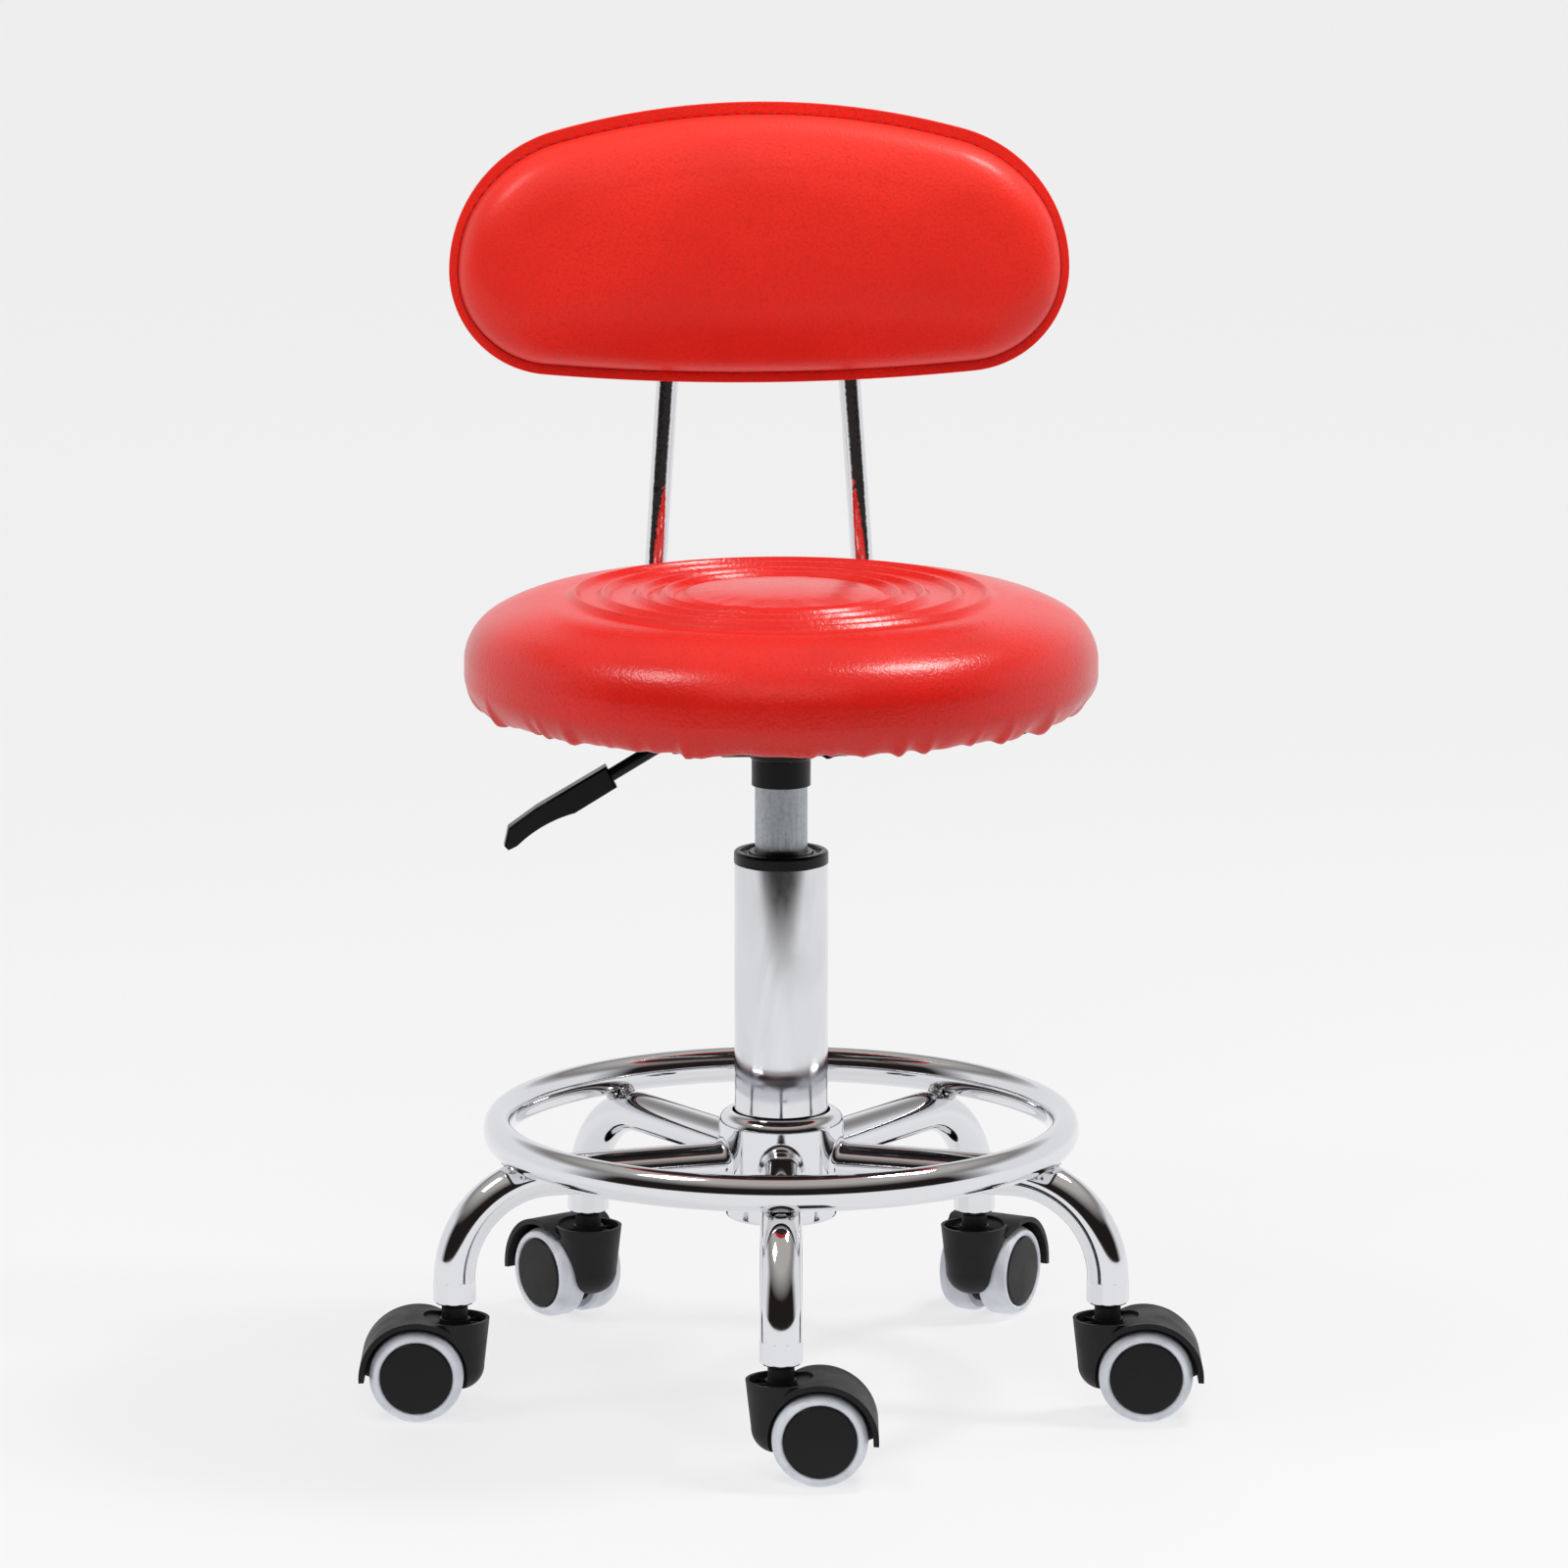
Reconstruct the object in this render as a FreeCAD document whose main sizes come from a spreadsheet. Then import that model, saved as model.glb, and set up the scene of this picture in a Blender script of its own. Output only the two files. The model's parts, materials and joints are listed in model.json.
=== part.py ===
import FreeCAD, Part
import Sketcher
import math
import os
from types import SimpleNamespace
from FreeCAD import Placement, Rotation, Vector

# Rolling stylist stool: a round padded seat with a small backrest on a gas column, over a
# chromed five-legged base with a foot ring and five twin-wheel casters.
# Millimetres.  +Z is up, the column's axis is X = Y = 0, the floor is Z = 0, and the
# backrest stands on the +Y side, so that a sitter faces -Y.

DRIVING_SIZES = [
    # casters
    ("wheel_radius", 25.0, "outside of a tyre"),
    ("core_radius", 19.1, "hard core of a wheel, inside its tyre"),
    ("wheel_inner", 3.6, "inner face of a wheel, from the caster's middle"),
    ("wheel_outer", 21.0, "outer face of a wheel, from the caster's middle"),
    ("axle_radius", 3.0, "caster axle"),
    ("running_gap", 0.05, "radial gap of every running fit"),
    ("trail", 20.0, "axle behind the swivel axis"),
    ("web_half", 3.2, "half thickness of the web between the wheels"),
    ("arch_radius", 27.0, "room for the wheels in the housing"),
    ("hood_radius", 30.5, "outside of the hood over the wheels"),
    ("hood_inside", 27.6, "inside of the hood over the wheels"),
    ("hood_half", 21.6, "half width of the hood"),
    ("cup_radius", 18.5, "swivel cup at its rim"),
    ("cup_waist", 15.6, "swivel cup where its round end starts"),
    ("cup_rim", 53.5, "height of the cup's rim"),
    ("cup_bottom", 15.0, "height of the cup's lowest point"),
    ("cup_round", 13.0, "radius of the cup's round end"),
    ("cup_wall", 1.8, "wall of the cup and of the wheel arch"),
    ("neck_radius", 7.0, "neck round the stem"),
    ("neck_top", 60.6, "height of the neck"),
    ("stem_radius", 5.5, "steel stem"),
    ("stem_bottom", 49.6, "lower end of the stem"),
    ("stem_top", 92.0, "upper end of the stem"),
    # base
    ("leg_count", 5, "legs"),
    ("leg_height", 127.25, "centre line of a leg at the hub"),
    ("leg_radius", 11.0, "outside of a leg tube"),
    ("leg_wall", 1.5, "wall of a leg tube"),
    ("leg_start", 42.0, "leg tube's inner end, from the column's axis"),
    ("leg_bend", 52.25, "bend of a leg's centre line"),
    ("leg_reach", 182.25, "swivel axis of a caster, from the column's axis"),
    ("leg_end", 74.0, "height of a leg tube's lower end"),
    ("socket_bottom", 61.8, "height of the stem socket's lower face"),
    ("socket_radius", 11.3, "stem socket's collar"),
    ("ring_height", 144.3, "centre line of the foot ring"),
    ("ring_reach", 151.7, "radius of the foot ring's centre line"),
    ("ring_half_width", 7.9, "foot ring's oval tube, level"),
    ("ring_half_height", 9.75, "foot ring's oval tube, upright"),
    ("ring_wall", 1.4, "wall of the foot ring's tube"),
    ("hub_radius", 33.5, "outside of the hub"),
    ("hub_top", 154.0, "height of the hub's lip"),
    ("hub_bottom", 96.0, "height of the hub's lower boss"),
    ("hub_mouth", 26.3, "hole in the hub's lip"),
    # column
    ("tube_radius", 25.0, "outside of the column tube"),
    ("tube_wall", 1.5, "wall of the column tube"),
    ("tube_tip", 24.3, "column tube at its tapered lower end"),
    ("tube_bottom", 100.0, "height of the column tube's lower end"),
    ("tube_top", 289.0, "height of the column tube's upper end"),
    ("taper_top", 126.0, "height where the taper ends"),
    ("plate_thickness", 3.0, "closing plate of the column tube"),
    ("collar_radius", 25.2, "guide collar"),
    ("collar_top", 295.5, "height of the guide collar"),
    ("sleeve_bottom", 215.0, "height of the guide sleeve's lower end"),
    ("cylinder_radius", 14.0, "gas cylinder"),
    ("cylinder_bore", 12.5, "bore of the gas cylinder"),
    ("cylinder_bottom", 150.0, "height of the gas cylinder's lower end"),
    ("cylinder_top", 356.0, "height of the gas cylinder's upper end"),
    ("gland_height", 15.0, "gland at the gas cylinder's lower end"),
    ("head_height", 21.0, "valve head at the gas cylinder's upper end"),
    ("rod_radius", 5.0, "piston rod"),
    ("piston_bottom", 258.0, "height of the piston's lower face"),
    ("piston_height", 10.0, "piston"),
    ("pin_radius", 4.0, "valve pin"),
    ("pin_top", 362.2, "height of the valve pin"),
    # seat
    ("mount_bottom", 331.0, "height of the mounting socket's lower end"),
    ("mount_radius", 15.75, "outside of the mounting socket"),
    ("pan_bottom", 352.0, "height of the pressed pan's floor, outside"),
    ("pan_half", 38.0, "half width of the pressed pan"),
    ("steel", 2.0, "pressed steel"),
    ("flange_half_width", 48.0, "seat plate's flange, along X"),
    ("flange_half_depth", 75.0, "seat plate's flange, along Y"),
    ("board_bottom", 380.0, "height of the seat board's lower face"),
    ("board_thickness", 12.0, "seat board"),
    ("board_radius", 154.0, "seat board"),
    ("lining_thickness", 0.8, "black cloth under the seat board"),
    ("lining_radius", 154.0, "black cloth under the seat board"),
    ("seat_radius", 168.0, "outside of the seat cover"),
    ("seat_top", 432.5, "height of the seat's top"),
    ("seat_flat", 118.0, "radius of the flat of the seat's top"),
    ("shoulder_round", 72.0, "radius of the seat's upper shoulder"),
    ("cover_thickness", 1.4, "vinyl cover"),
    # lever
    ("lever_radius", 3.5, "lever rod"),
    ("lever_height", 366.0, "lever rod over the valve pin"),
    ("lever_corner", 42.4, "bend of the lever rod, from the column's axis"),
    ("lever_slope", 31.0, "degrees that the lever hangs down"),
    ("lever_pivot", 30.0, "pivot of the lever, from the column's axis"),
    ("pivot_radius", 1.5, "lever pivot pin"),
    ("grip_start", 55.5, "upper end of the lever's grip, from the bend"),
    ("grip_half_width", 5.5, "half width of the lever's grip"),
    # backrest
    ("post_radius", 6.0, "backrest post"),
    ("post_foot", 60.0, "inner end of a post, behind the column's axis"),
    ("post_back", 187.0, "upright part of a post, behind the column's axis"),
    ("post_spread", 60.3, "post's offset from the middle, under the seat"),
    ("post_splay", 3.9, "degrees that each post leans inwards"),
    ("post_lean", 3.0, "degrees that the posts and the backrest lean back"),
    ("post_bend", 26.0, "bend of a post's centre line"),
    ("post_top", 232.0, "length of a post's upright part"),
    ("tab_thickness", 4.0, "flattened end of a post"),
    ("back_height", 596.5, "height of the backrest's middle"),
    ("back_curve", 1400.0, "radius of the backrest's curve round the sitter"),
    ("back_half_width", 170.0, "half width of the backrest"),
    ("back_half_height", 77.0, "half height of the backrest"),
    ("back_crown", 425.0, "arch of the backrest's top edge"),
    ("back_foot", 1200.0, "curve of the backrest's lower edge"),
    ("back_shoulder", 15.3, "degrees from the middle to the end of the top arch"),
    ("back_board_thickness", 9.0, "backrest board"),
    ("back_foam_thickness", 24.0, "backrest foam"),
    ("back_skin", 1.3, "backrest vinyl"),
]

BASE_TURN = -3.7      # degrees that the base is turned under the seat in this position
FRONT_LEG = -90.0     # degrees: direction of leg 1 before that turn
CASTER_TURNS = [0.0, 0.0, 61.9, 126.9, 180.0]   # degrees: where each caster trails

doc = FreeCAD.newDocument("stool")
made = {}             # node name: document object


# ---------------------------------------------------------------- driving dimensions

class Size:
    """A number together with the sheet expression that it comes from."""

    def __init__(self, number, text):
        self.number = number
        self.text = text

    def _join(self, other, sign, number):
        return Size(number, "(%s %s %s)" % (self.text, sign, other.text))

    def __neg__(self):
        return Size(-self.number, "(0 - %s)" % self.text)

    def __add__(self, other):
        other = size(other)
        return self._join(other, "+", self.number + other.number)

    def __sub__(self, other):
        other = size(other)
        return self._join(other, "-", self.number - other.number)

    def __mul__(self, other):
        other = size(other)
        return self._join(other, "*", self.number * other.number)

    def __truediv__(self, other):
        other = size(other)
        return self._join(other, "/", self.number / other.number)

    def __radd__(self, other):
        return size(other) + self

    def __rsub__(self, other):
        return size(other) - self

    def __rmul__(self, other):
        return size(other) * self


def size(value):
    """Any plain number as a Size."""
    if isinstance(value, Size):
        return value
    return Size(float(value), "%.6f" % value)


def root(value):
    return Size(math.sqrt(value.number), "sqrt(%s)" % value.text)


def sine(degrees):
    return Size(math.sin(math.radians(degrees.number)), "sin(%s)" % degrees.text)


def cosine(degrees):
    return Size(math.cos(math.radians(degrees.number)), "cos(%s)" % degrees.text)


def fill_sheet():
    """Write the driving dimensions to the sheet and return them by name."""
    sheet = doc.addObject("Spreadsheet::Sheet", "Sizes")
    named = SimpleNamespace()
    for row, (name, number, note) in enumerate(DRIVING_SIZES, start=1):
        sheet.set("A%d" % row, name)
        sheet.set("B%d" % row, str(number))
        sheet.setAlias("B%d" % row, name)
        sheet.set("C%d" % row, note)
        setattr(named, name, Size(float(number), "Sizes." + name))
    doc.recompute()
    return named


s = fill_sheet()
AXLE_HEIGHT = s.wheel_radius


def set_size(thing, prop, value):
    """Bind one property to the sheet; a plain number is only set."""
    value = size(value)
    if "Sizes." in value.text:
        thing.setExpression(prop, value.text)
    elif prop.isalpha():
        setattr(thing, prop, value.number)


# ---------------------------------------------------------------- sketches

def new_body(label):
    body = doc.addObject("PartDesign::Body", label)
    body.Label = label
    return body


def new_sketch(body, role, offset=0.0):
    """A sketch on one of the body's own planes, moved along that plane's normal."""
    sketch = body.newObject("Sketcher::SketchObject", "Sketch")
    plane = [f for f in body.Origin.OriginFeatures if f.Role == role][0]
    sketch.AttachmentSupport = [(plane, "")]
    sketch.MapMode = "FlatFace"
    offset = size(offset)
    sketch.AttachmentOffset = Placement(Vector(0, 0, offset.number), Rotation())
    set_size(sketch, "AttachmentOffset.Base.z", offset)
    return sketch


def pin_point(sketch, edge, end, x, y):
    """Hold one end of an edge at (x, y)."""
    for value, kind, axis in ((size(x), "DistanceX", -2), (size(y), "DistanceY", -1)):
        if abs(value.number) < 1e-9:
            sketch.addConstraint(Sketcher.Constraint("PointOnObject", edge, end, axis))
            continue
        row = sketch.addConstraint(Sketcher.Constraint(kind, -1, 1, edge, end, value.number))
        set_size(sketch, "Constraints[%d]" % row, value)


def circle(sketch, x, y, radius):
    x, y, radius = size(x), size(y), size(radius)
    centre = Vector(x.number, y.number, 0)
    edge = sketch.addGeometry(Part.Circle(centre, Vector(0, 0, 1), radius.number), False)
    pin_point(sketch, edge, 3, x, y)
    row = sketch.addConstraint(Sketcher.Constraint("Radius", edge, radius.number))
    set_size(sketch, "Constraints[%d]" % row, radius)


def ellipse(sketch, x, y, half_width, half_height):
    """An upright ellipse, taller than it is wide."""
    x, y = size(x), size(y)
    half_width, half_height = size(half_width), size(half_height)
    centre = Vector(x.number, y.number, 0)
    top = centre + Vector(0, half_height.number, 0)
    side = centre - Vector(half_width.number, 0, 0)
    edge = sketch.addGeometry(Part.Ellipse(top, side, centre), False)
    sketch.exposeInternalGeometry(edge)
    pin_point(sketch, edge, 3, x, y)
    major, minor = edge + 1, edge + 2
    sketch.addConstraint(Sketcher.Constraint("Vertical", major))
    for axis, half in ((major, half_height), (minor, half_width)):
        whole = half * 2
        row = sketch.addConstraint(Sketcher.Constraint("Distance", axis, 1, axis, 2, whole.number))
        set_size(sketch, "Constraints[%d]" % row, whole)


def outline(sketch, corners, closed=True):
    """Edges through the corners.  A corner is (x, y), or (x, y, r) where the edge that ends
    there is an arc of radius r, anticlockwise when r is positive."""
    corners = [tuple(size(value) for value in corner) for corner in corners]
    ends = []
    starts = corners if closed else corners[:-1]
    for index, here in enumerate(starts):
        there = corners[(index + 1) % len(corners)]
        a = Vector(here[0].number, here[1].number, 0)
        b = Vector(there[0].number, there[1].number, 0)
        if len(there) == 2:
            edge = sketch.addGeometry(Part.LineSegment(a, b), False)
            ends.append((edge, 1, 2))
            continue
        radius = abs(there[2].number)
        turn = math.copysign(1.0, there[2].number)
        half = (b - a) * 0.5
        rise = math.sqrt(max(radius ** 2 - half.Length ** 2, 0.0))
        left = Vector(-half.y, half.x, 0).normalize()
        centre = a + half + left * (turn * rise)
        first, last = (a, b) if turn > 0 else (b, a)
        angles = [math.atan2(p.y - centre.y, p.x - centre.x) for p in (first, last)]
        round_edge = Part.Circle(centre, Vector(0, 0, 1), radius)
        edge = sketch.addGeometry(Part.ArcOfCircle(round_edge, angles[0], angles[1]), False)
        ends.append((edge, 1, 2) if turn > 0 else (edge, 2, 1))
        row = sketch.addConstraint(Sketcher.Constraint("Radius", edge, radius))
        set_size(sketch, "Constraints[%d]" % row, there[2] * turn)
    for index, (edge, start, end) in enumerate(ends):
        pin_point(sketch, edge, start, *corners[index][:2])
        if closed or index + 1 < len(ends):
            after, after_start, _ = ends[(index + 1) % len(ends)]
            sketch.addConstraint(Sketcher.Constraint("Coincident", edge, end, after, after_start))
    if not closed:
        edge, _, end = ends[-1]
        pin_point(sketch, edge, end, *corners[-1][:2])


def box_corners(x, y, half_x, half_y):
    return [(x - half_x, y - half_y), (x + half_x, y - half_y),
            (x + half_x, y + half_y), (x - half_x, y + half_y)]


def polygon_corners(count, radius):
    """Corners of a regular polygon about the origin."""
    turns = [2 * math.pi * (step + 0.5) / count for step in range(count)]
    return [(radius * math.cos(turn), radius * math.sin(turn)) for turn in turns]


# ---------------------------------------------------------------- features

def revolve(body, *outlines):
    """Turn closed outlines in the XZ plane about the body's Z axis."""
    sketch = new_sketch(body, "XZ_Plane")
    for corners in outlines:
        outline(sketch, corners)
    feature = body.newObject("PartDesign::Revolution", "Revolution")
    feature.Profile = sketch
    feature.ReferenceAxis = (sketch, ["V_Axis"])
    feature.Angle = 360
    return feature


def groove(body, corners):
    """Cut a ring with the given section in the XZ plane."""
    before = solid_volume(body)
    sketch = new_sketch(body, "XZ_Plane")
    outline(sketch, corners)
    feature = body.newObject("PartDesign::Groove", "Groove")
    feature.Profile = sketch
    feature.ReferenceAxis = (sketch, ["V_Axis"])
    feature.Angle = 360
    expect_less(body, before)
    return feature


def pad(body, sketch, length, midplane=False):
    feature = body.newObject("PartDesign::Pad", "Pad")
    feature.Profile = sketch
    set_size(feature, "Length", length)
    feature.Midplane = midplane
    return feature


def pocket(body, sketch, length=None, midplane=False, backwards=False):
    """Cut the sketch into the solid, by a length or right through."""
    before = solid_volume(body)
    feature = body.newObject("PartDesign::Pocket", "Pocket")
    feature.Profile = sketch
    feature.Midplane = midplane
    feature.Reversed = backwards
    if length is None:
        feature.Type = "ThroughAll"
    else:
        set_size(feature, "Length", length)
    expect_less(body, before)
    return feature


def solid_volume(body):
    doc.recompute()
    return body.Shape.Volume


def expect_less(body, before):
    """A cut that points away from the solid takes nothing off, so it is caught here."""
    if not solid_volume(body) < before - 1e-3:
        raise RuntimeError("a cut in %s removed nothing" % body.Label)


def repeat_round(body, feature, count):
    """Repeat a feature round the body's Z axis."""
    pattern = body.newObject("PartDesign::PolarPattern", "PolarPattern")
    pattern.Originals = [feature]
    axis = [f for f in body.Origin.OriginFeatures if f.Role == "Z_Axis"][0]
    pattern.Axis = (axis, [""])
    pattern.Angle = 360
    pattern.Occurrences = count
    body.Tip = pattern
    return pattern


def mirror(body, feature, role):
    """Repeat a feature on the other side of one of the body's planes."""
    copy = body.newObject("PartDesign::Mirrored", "Mirrored")
    copy.Originals = [feature]
    plane = [f for f in body.Origin.OriginFeatures if f.Role == role][0]
    copy.MirrorPlane = (plane, [""])
    body.Tip = copy
    return copy


def round_edges(body, base, radius, wanted):
    """Fillet the edges of the base feature that the test picks."""
    doc.recompute()
    names = ["Edge%d" % (i + 1) for i, edge in enumerate(base.Shape.Edges) if wanted(edge)]
    if not names:
        raise RuntimeError("no edge to round in " + body.Label)
    feature = body.newObject("PartDesign::Fillet", "Fillet")
    feature.Base = (base, names)
    set_size(feature, "Radius", radius)
    return feature


def tube_along(body, path, radius, wall=None):
    """Sweep a round tube, or a rod without a wall, along an open path in the XZ plane that
    starts along X."""
    route = new_sketch(body, "XZ_Plane")
    outline(route, path, closed=False)
    section = new_sketch(body, "YZ_Plane", path[0][0])
    circle(section, 0, path[0][1], radius)
    if wall is not None:
        circle(section, 0, path[0][1], radius - wall)
    sweep = body.newObject("PartDesign::AdditivePipe", "AdditivePipe")
    sweep.Profile = section
    sweep.Spine = (route, ["Edge%d" % (i + 1) for i in range(len(path) - 1)])
    return sweep


# ---------------------------------------------------------------- placing and keeping

def turned(degrees):
    return Placement(Vector(), Rotation(Vector(0, 0, 1), degrees))


def moved(x, y, z):
    return Placement(Vector(x, y, z), Rotation())


def keep(name, thing, placement=None):
    """Register a document object as one sub-part."""
    thing.Label = name
    if placement is not None:
        thing.Placement = placement
    made[name] = thing
    return thing


def group(name, things):
    """Several like solids kept as one sub-part."""
    compound = doc.addObject("Part::Compound", name)
    compound.Links = things
    return keep(name, compound)


def cut(name, base, tool):
    feature = doc.addObject("Part::Cut", name)
    feature.Base = base
    feature.Tool = tool
    return feature


LEG_COUNT = int(s.leg_count.number)
LEG_TURNS = [FRONT_LEG + BASE_TURN + 360.0 / LEG_COUNT * i for i in range(LEG_COUNT)]


# ---------------------------------------------------------------- base

def make_hub():
    """Hub with a rounded lip, a tapered seat for the column and a filleted stub per leg."""
    body = new_body("base_hub")
    lip_round = 6.5
    bore_low = s.tube_tip
    shell = revolve(body, [
        (bore_low, s.hub_bottom),
        (28.0, s.hub_bottom),
        (30.0, s.hub_bottom + 2.0, 2.0),
        (30.0, s.hub_bottom + 10.0),
        (s.hub_radius, s.hub_bottom + 14.0),
        (s.hub_radius, s.hub_top - lip_round),
        (s.hub_radius - lip_round, s.hub_top, lip_round),
        (s.hub_mouth, s.hub_top),
        (s.hub_mouth, s.taper_top),
        (s.tube_radius, s.taper_top),
        (bore_low, s.tube_bottom)])
    stub_root = s.hub_radius - 4.0
    sketch = new_sketch(body, "YZ_Plane", stub_root)
    circle(sketch, 0, s.leg_height, s.leg_radius)
    stub = pad(body, sketch, s.leg_start - stub_root)
    ring = repeat_round(body, stub, LEG_COUNT)
    reach = s.hub_radius.number

    def is_weld_line(edge):
        """The line where a stub leaves the hub's wall."""
        points = edge.discretize(7)
        on_wall = all(abs(math.hypot(p.x, p.y) - reach) < 0.02 for p in points)
        heights = [p.z for p in points]
        leg = s.leg_height.number
        near = all(abs(z - leg) < s.leg_radius.number + 0.1 for z in heights)
        return on_wall and near and max(heights) - min(heights) > 1.0 and edge.Length > 5.0

    body.Tip = round_edges(body, ring, 4.5, is_weld_line)
    return keep("base_hub", body, turned(LEG_TURNS[0]))


def make_leg(number, turn):
    """Tube that runs out level from the hub and bends down to its caster."""
    body = new_body("leg_%d" % number)
    path = [
        (s.leg_start, s.leg_height),
        (s.leg_reach - s.leg_bend, s.leg_height),
        (s.leg_reach, s.leg_height - s.leg_bend, -s.leg_bend),
        (s.leg_reach, s.leg_end)]
    tube_along(body, path, s.leg_radius, s.leg_wall)
    return keep("leg_%d" % number, body, turned(turn))


def make_socket(number, turn):
    """Faceted collar under a leg's end, with a sleeve up inside the tube."""
    body = new_body("socket_%d" % number)
    collar_height = s.leg_end - s.socket_bottom
    sketch = new_sketch(body, "XY_Plane", s.socket_bottom)
    outline(sketch, polygon_corners(10, s.socket_radius))
    circle(sketch, 0, 0, s.stem_radius)
    pad(body, sketch, collar_height)
    sketch = new_sketch(body, "XY_Plane", s.leg_end)
    circle(sketch, 0, 0, s.leg_radius - s.leg_wall - 0.6)
    circle(sketch, 0, 0, s.stem_radius)
    pad(body, sketch, 7.0)
    outside = s.socket_radius + 1.0
    foot = s.socket_bottom
    groove(body, [
        (s.socket_radius - 1.4, foot), (outside, foot), (outside, foot + 2.2)])
    body.Placement = turned(turn).multiply(moved(s.leg_reach.number, 0, 0))
    return body


def make_stem(number, turn):
    """Steel stem with a groove and a split grip ring, snapped into its socket."""
    body = new_body("stem_%d" % number)
    revolve(body, [
        (0, s.stem_bottom),
        (s.stem_radius - 1.0, s.stem_bottom),
        (s.stem_radius, s.stem_bottom + 1.0),
        (s.stem_radius, s.stem_top - 2.0),
        (s.stem_radius - 1.5, s.stem_top),
        (0, s.stem_top)])
    groove(body, [
        (s.stem_radius - 1.0, s.stem_top - 8.0), (s.stem_radius + 1.0, s.stem_top - 8.0),
        (s.stem_radius + 1.0, s.stem_top - 5.0), (s.stem_radius - 1.0, s.stem_top - 5.0)])
    body.Placement = turned(turn).multiply(moved(s.leg_reach.number, 0, 0))
    return body


def make_foot_ring():
    """Oval tube bent to a full ring, resting on the five legs."""
    body = new_body("foot_ring")
    sketch = new_sketch(body, "XZ_Plane")
    ellipse(sketch, s.ring_reach, s.ring_height, s.ring_half_width, s.ring_half_height)
    ellipse(sketch, s.ring_reach, s.ring_height,
            s.ring_half_width - s.ring_wall, s.ring_half_height - s.ring_wall)
    feature = body.newObject("PartDesign::Revolution", "Revolution")
    feature.Profile = sketch
    feature.ReferenceAxis = (sketch, ["V_Axis"])
    feature.Angle = 360
    return keep("foot_ring", body)


# ---------------------------------------------------------------- column

def make_column_tube():
    """Tube with a tapered lower end, closed by a plate that holds the piston rod."""
    inside = s.tube_radius - s.tube_wall
    inside_tip = s.tube_tip - s.tube_wall
    body = new_body("column_tube")
    floor = s.tube_bottom + s.plate_thickness
    revolve(body, [
        (s.rod_radius + s.running_gap, s.tube_bottom),
        (s.tube_tip, s.tube_bottom),
        (s.tube_radius, s.taper_top),
        (s.tube_radius, s.tube_top),
        (inside, s.tube_top),
        (inside, s.taper_top),
        (inside_tip, floor),
        (s.rod_radius + s.running_gap, floor)])
    return keep("column_tube", body)


def make_guide_collar():
    """Black collar on the tube, with a sleeve that guides the gas cylinder and a recessed
    top with four notches."""
    body = new_body("guide_collar")
    bore = s.cylinder_radius + s.running_gap
    edge_round = 1.6
    recess_floor = s.collar_top - 1.4
    revolve(body, [
        (bore, s.sleeve_bottom),
        (s.tube_radius - s.tube_wall, s.sleeve_bottom),
        (s.tube_radius - s.tube_wall, s.tube_top),
        (s.collar_radius, s.tube_top),
        (s.collar_radius, s.collar_top - edge_round),
        (s.collar_radius - edge_round, s.collar_top, edge_round),
        (21.4, s.collar_top),
        (20.9, recess_floor),
        (17.4, recess_floor),
        (16.9, s.collar_top - 0.3),
        (bore + 0.8, s.collar_top - 0.3),
        (bore, s.collar_top - 1.1)])
    sketch = new_sketch(body, "XY_Plane", s.collar_top)
    outline(sketch, box_corners(size(20.2), size(0), 2.0, 1.1))
    notch = pocket(body, sketch, 2.4)
    repeat_round(body, notch, 4)
    return keep("guide_collar", body)


def make_piston_rod():
    """Rod that stands on the column's plate and carries the piston in the gas cylinder."""
    body = new_body("piston_rod")
    piston_radius = s.cylinder_bore - 0.08
    piston_top = s.piston_bottom + s.piston_height
    revolve(body, [
        (0, s.tube_bottom - 3.6),
        (s.rod_radius, s.tube_bottom - 3.6),
        (s.rod_radius, s.piston_bottom),
        (piston_radius, s.piston_bottom),
        (piston_radius, piston_top),
        (0, piston_top)])
    return keep("piston_rod", body)


def make_rod_retainers():
    """Thrust bearing above the column's plate and spring clip below it, both on the rod."""
    plate_top = s.tube_bottom + s.plate_thickness
    rings = []
    for name, outer, bottom, height in (("bearing", 11.0, plate_top + 0.1, 4.0),
                                        ("clip", 9.0, s.tube_bottom - 1.6, 1.2)):
        body = new_body(name)
        revolve(body, [(s.rod_radius, bottom), (outer, bottom), (outer, bottom + height),
                       (s.rod_radius, bottom + height)])
        rings.append(body)
    return group("rod_retainers", rings)


def make_gas_cylinder():
    """Cylinder with a gland at its lower end and a valve head at its upper end."""
    body = new_body("gas_cylinder")
    gland_bore = s.rod_radius + s.running_gap
    pin_bore = s.pin_radius + s.running_gap
    bore_floor = s.cylinder_bottom + s.gland_height
    bore_top = s.cylinder_top - s.head_height
    revolve(body, [
        (gland_bore, s.cylinder_bottom),
        (s.cylinder_radius, s.cylinder_bottom),
        (s.cylinder_radius, s.cylinder_top - 1.0),
        (s.cylinder_radius - 1.0, s.cylinder_top),
        (pin_bore, s.cylinder_top),
        (pin_bore, bore_top),
        (s.cylinder_bore, bore_top),
        (s.cylinder_bore, bore_floor),
        (gland_bore, bore_floor)])
    return keep("gas_cylinder", body)


def make_valve_pin():
    """Pin in the valve head that the lever presses to free the gas cylinder."""
    body = new_body("valve_pin")
    foot = s.cylinder_top - s.head_height + 4.0
    revolve(body, [
        (0, foot), (s.pin_radius, foot), (s.pin_radius, s.pin_top - 0.8),
        (s.pin_radius - 0.8, s.pin_top), (0, s.pin_top)])
    return keep("valve_pin", body)


# ---------------------------------------------------------------- seat

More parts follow.
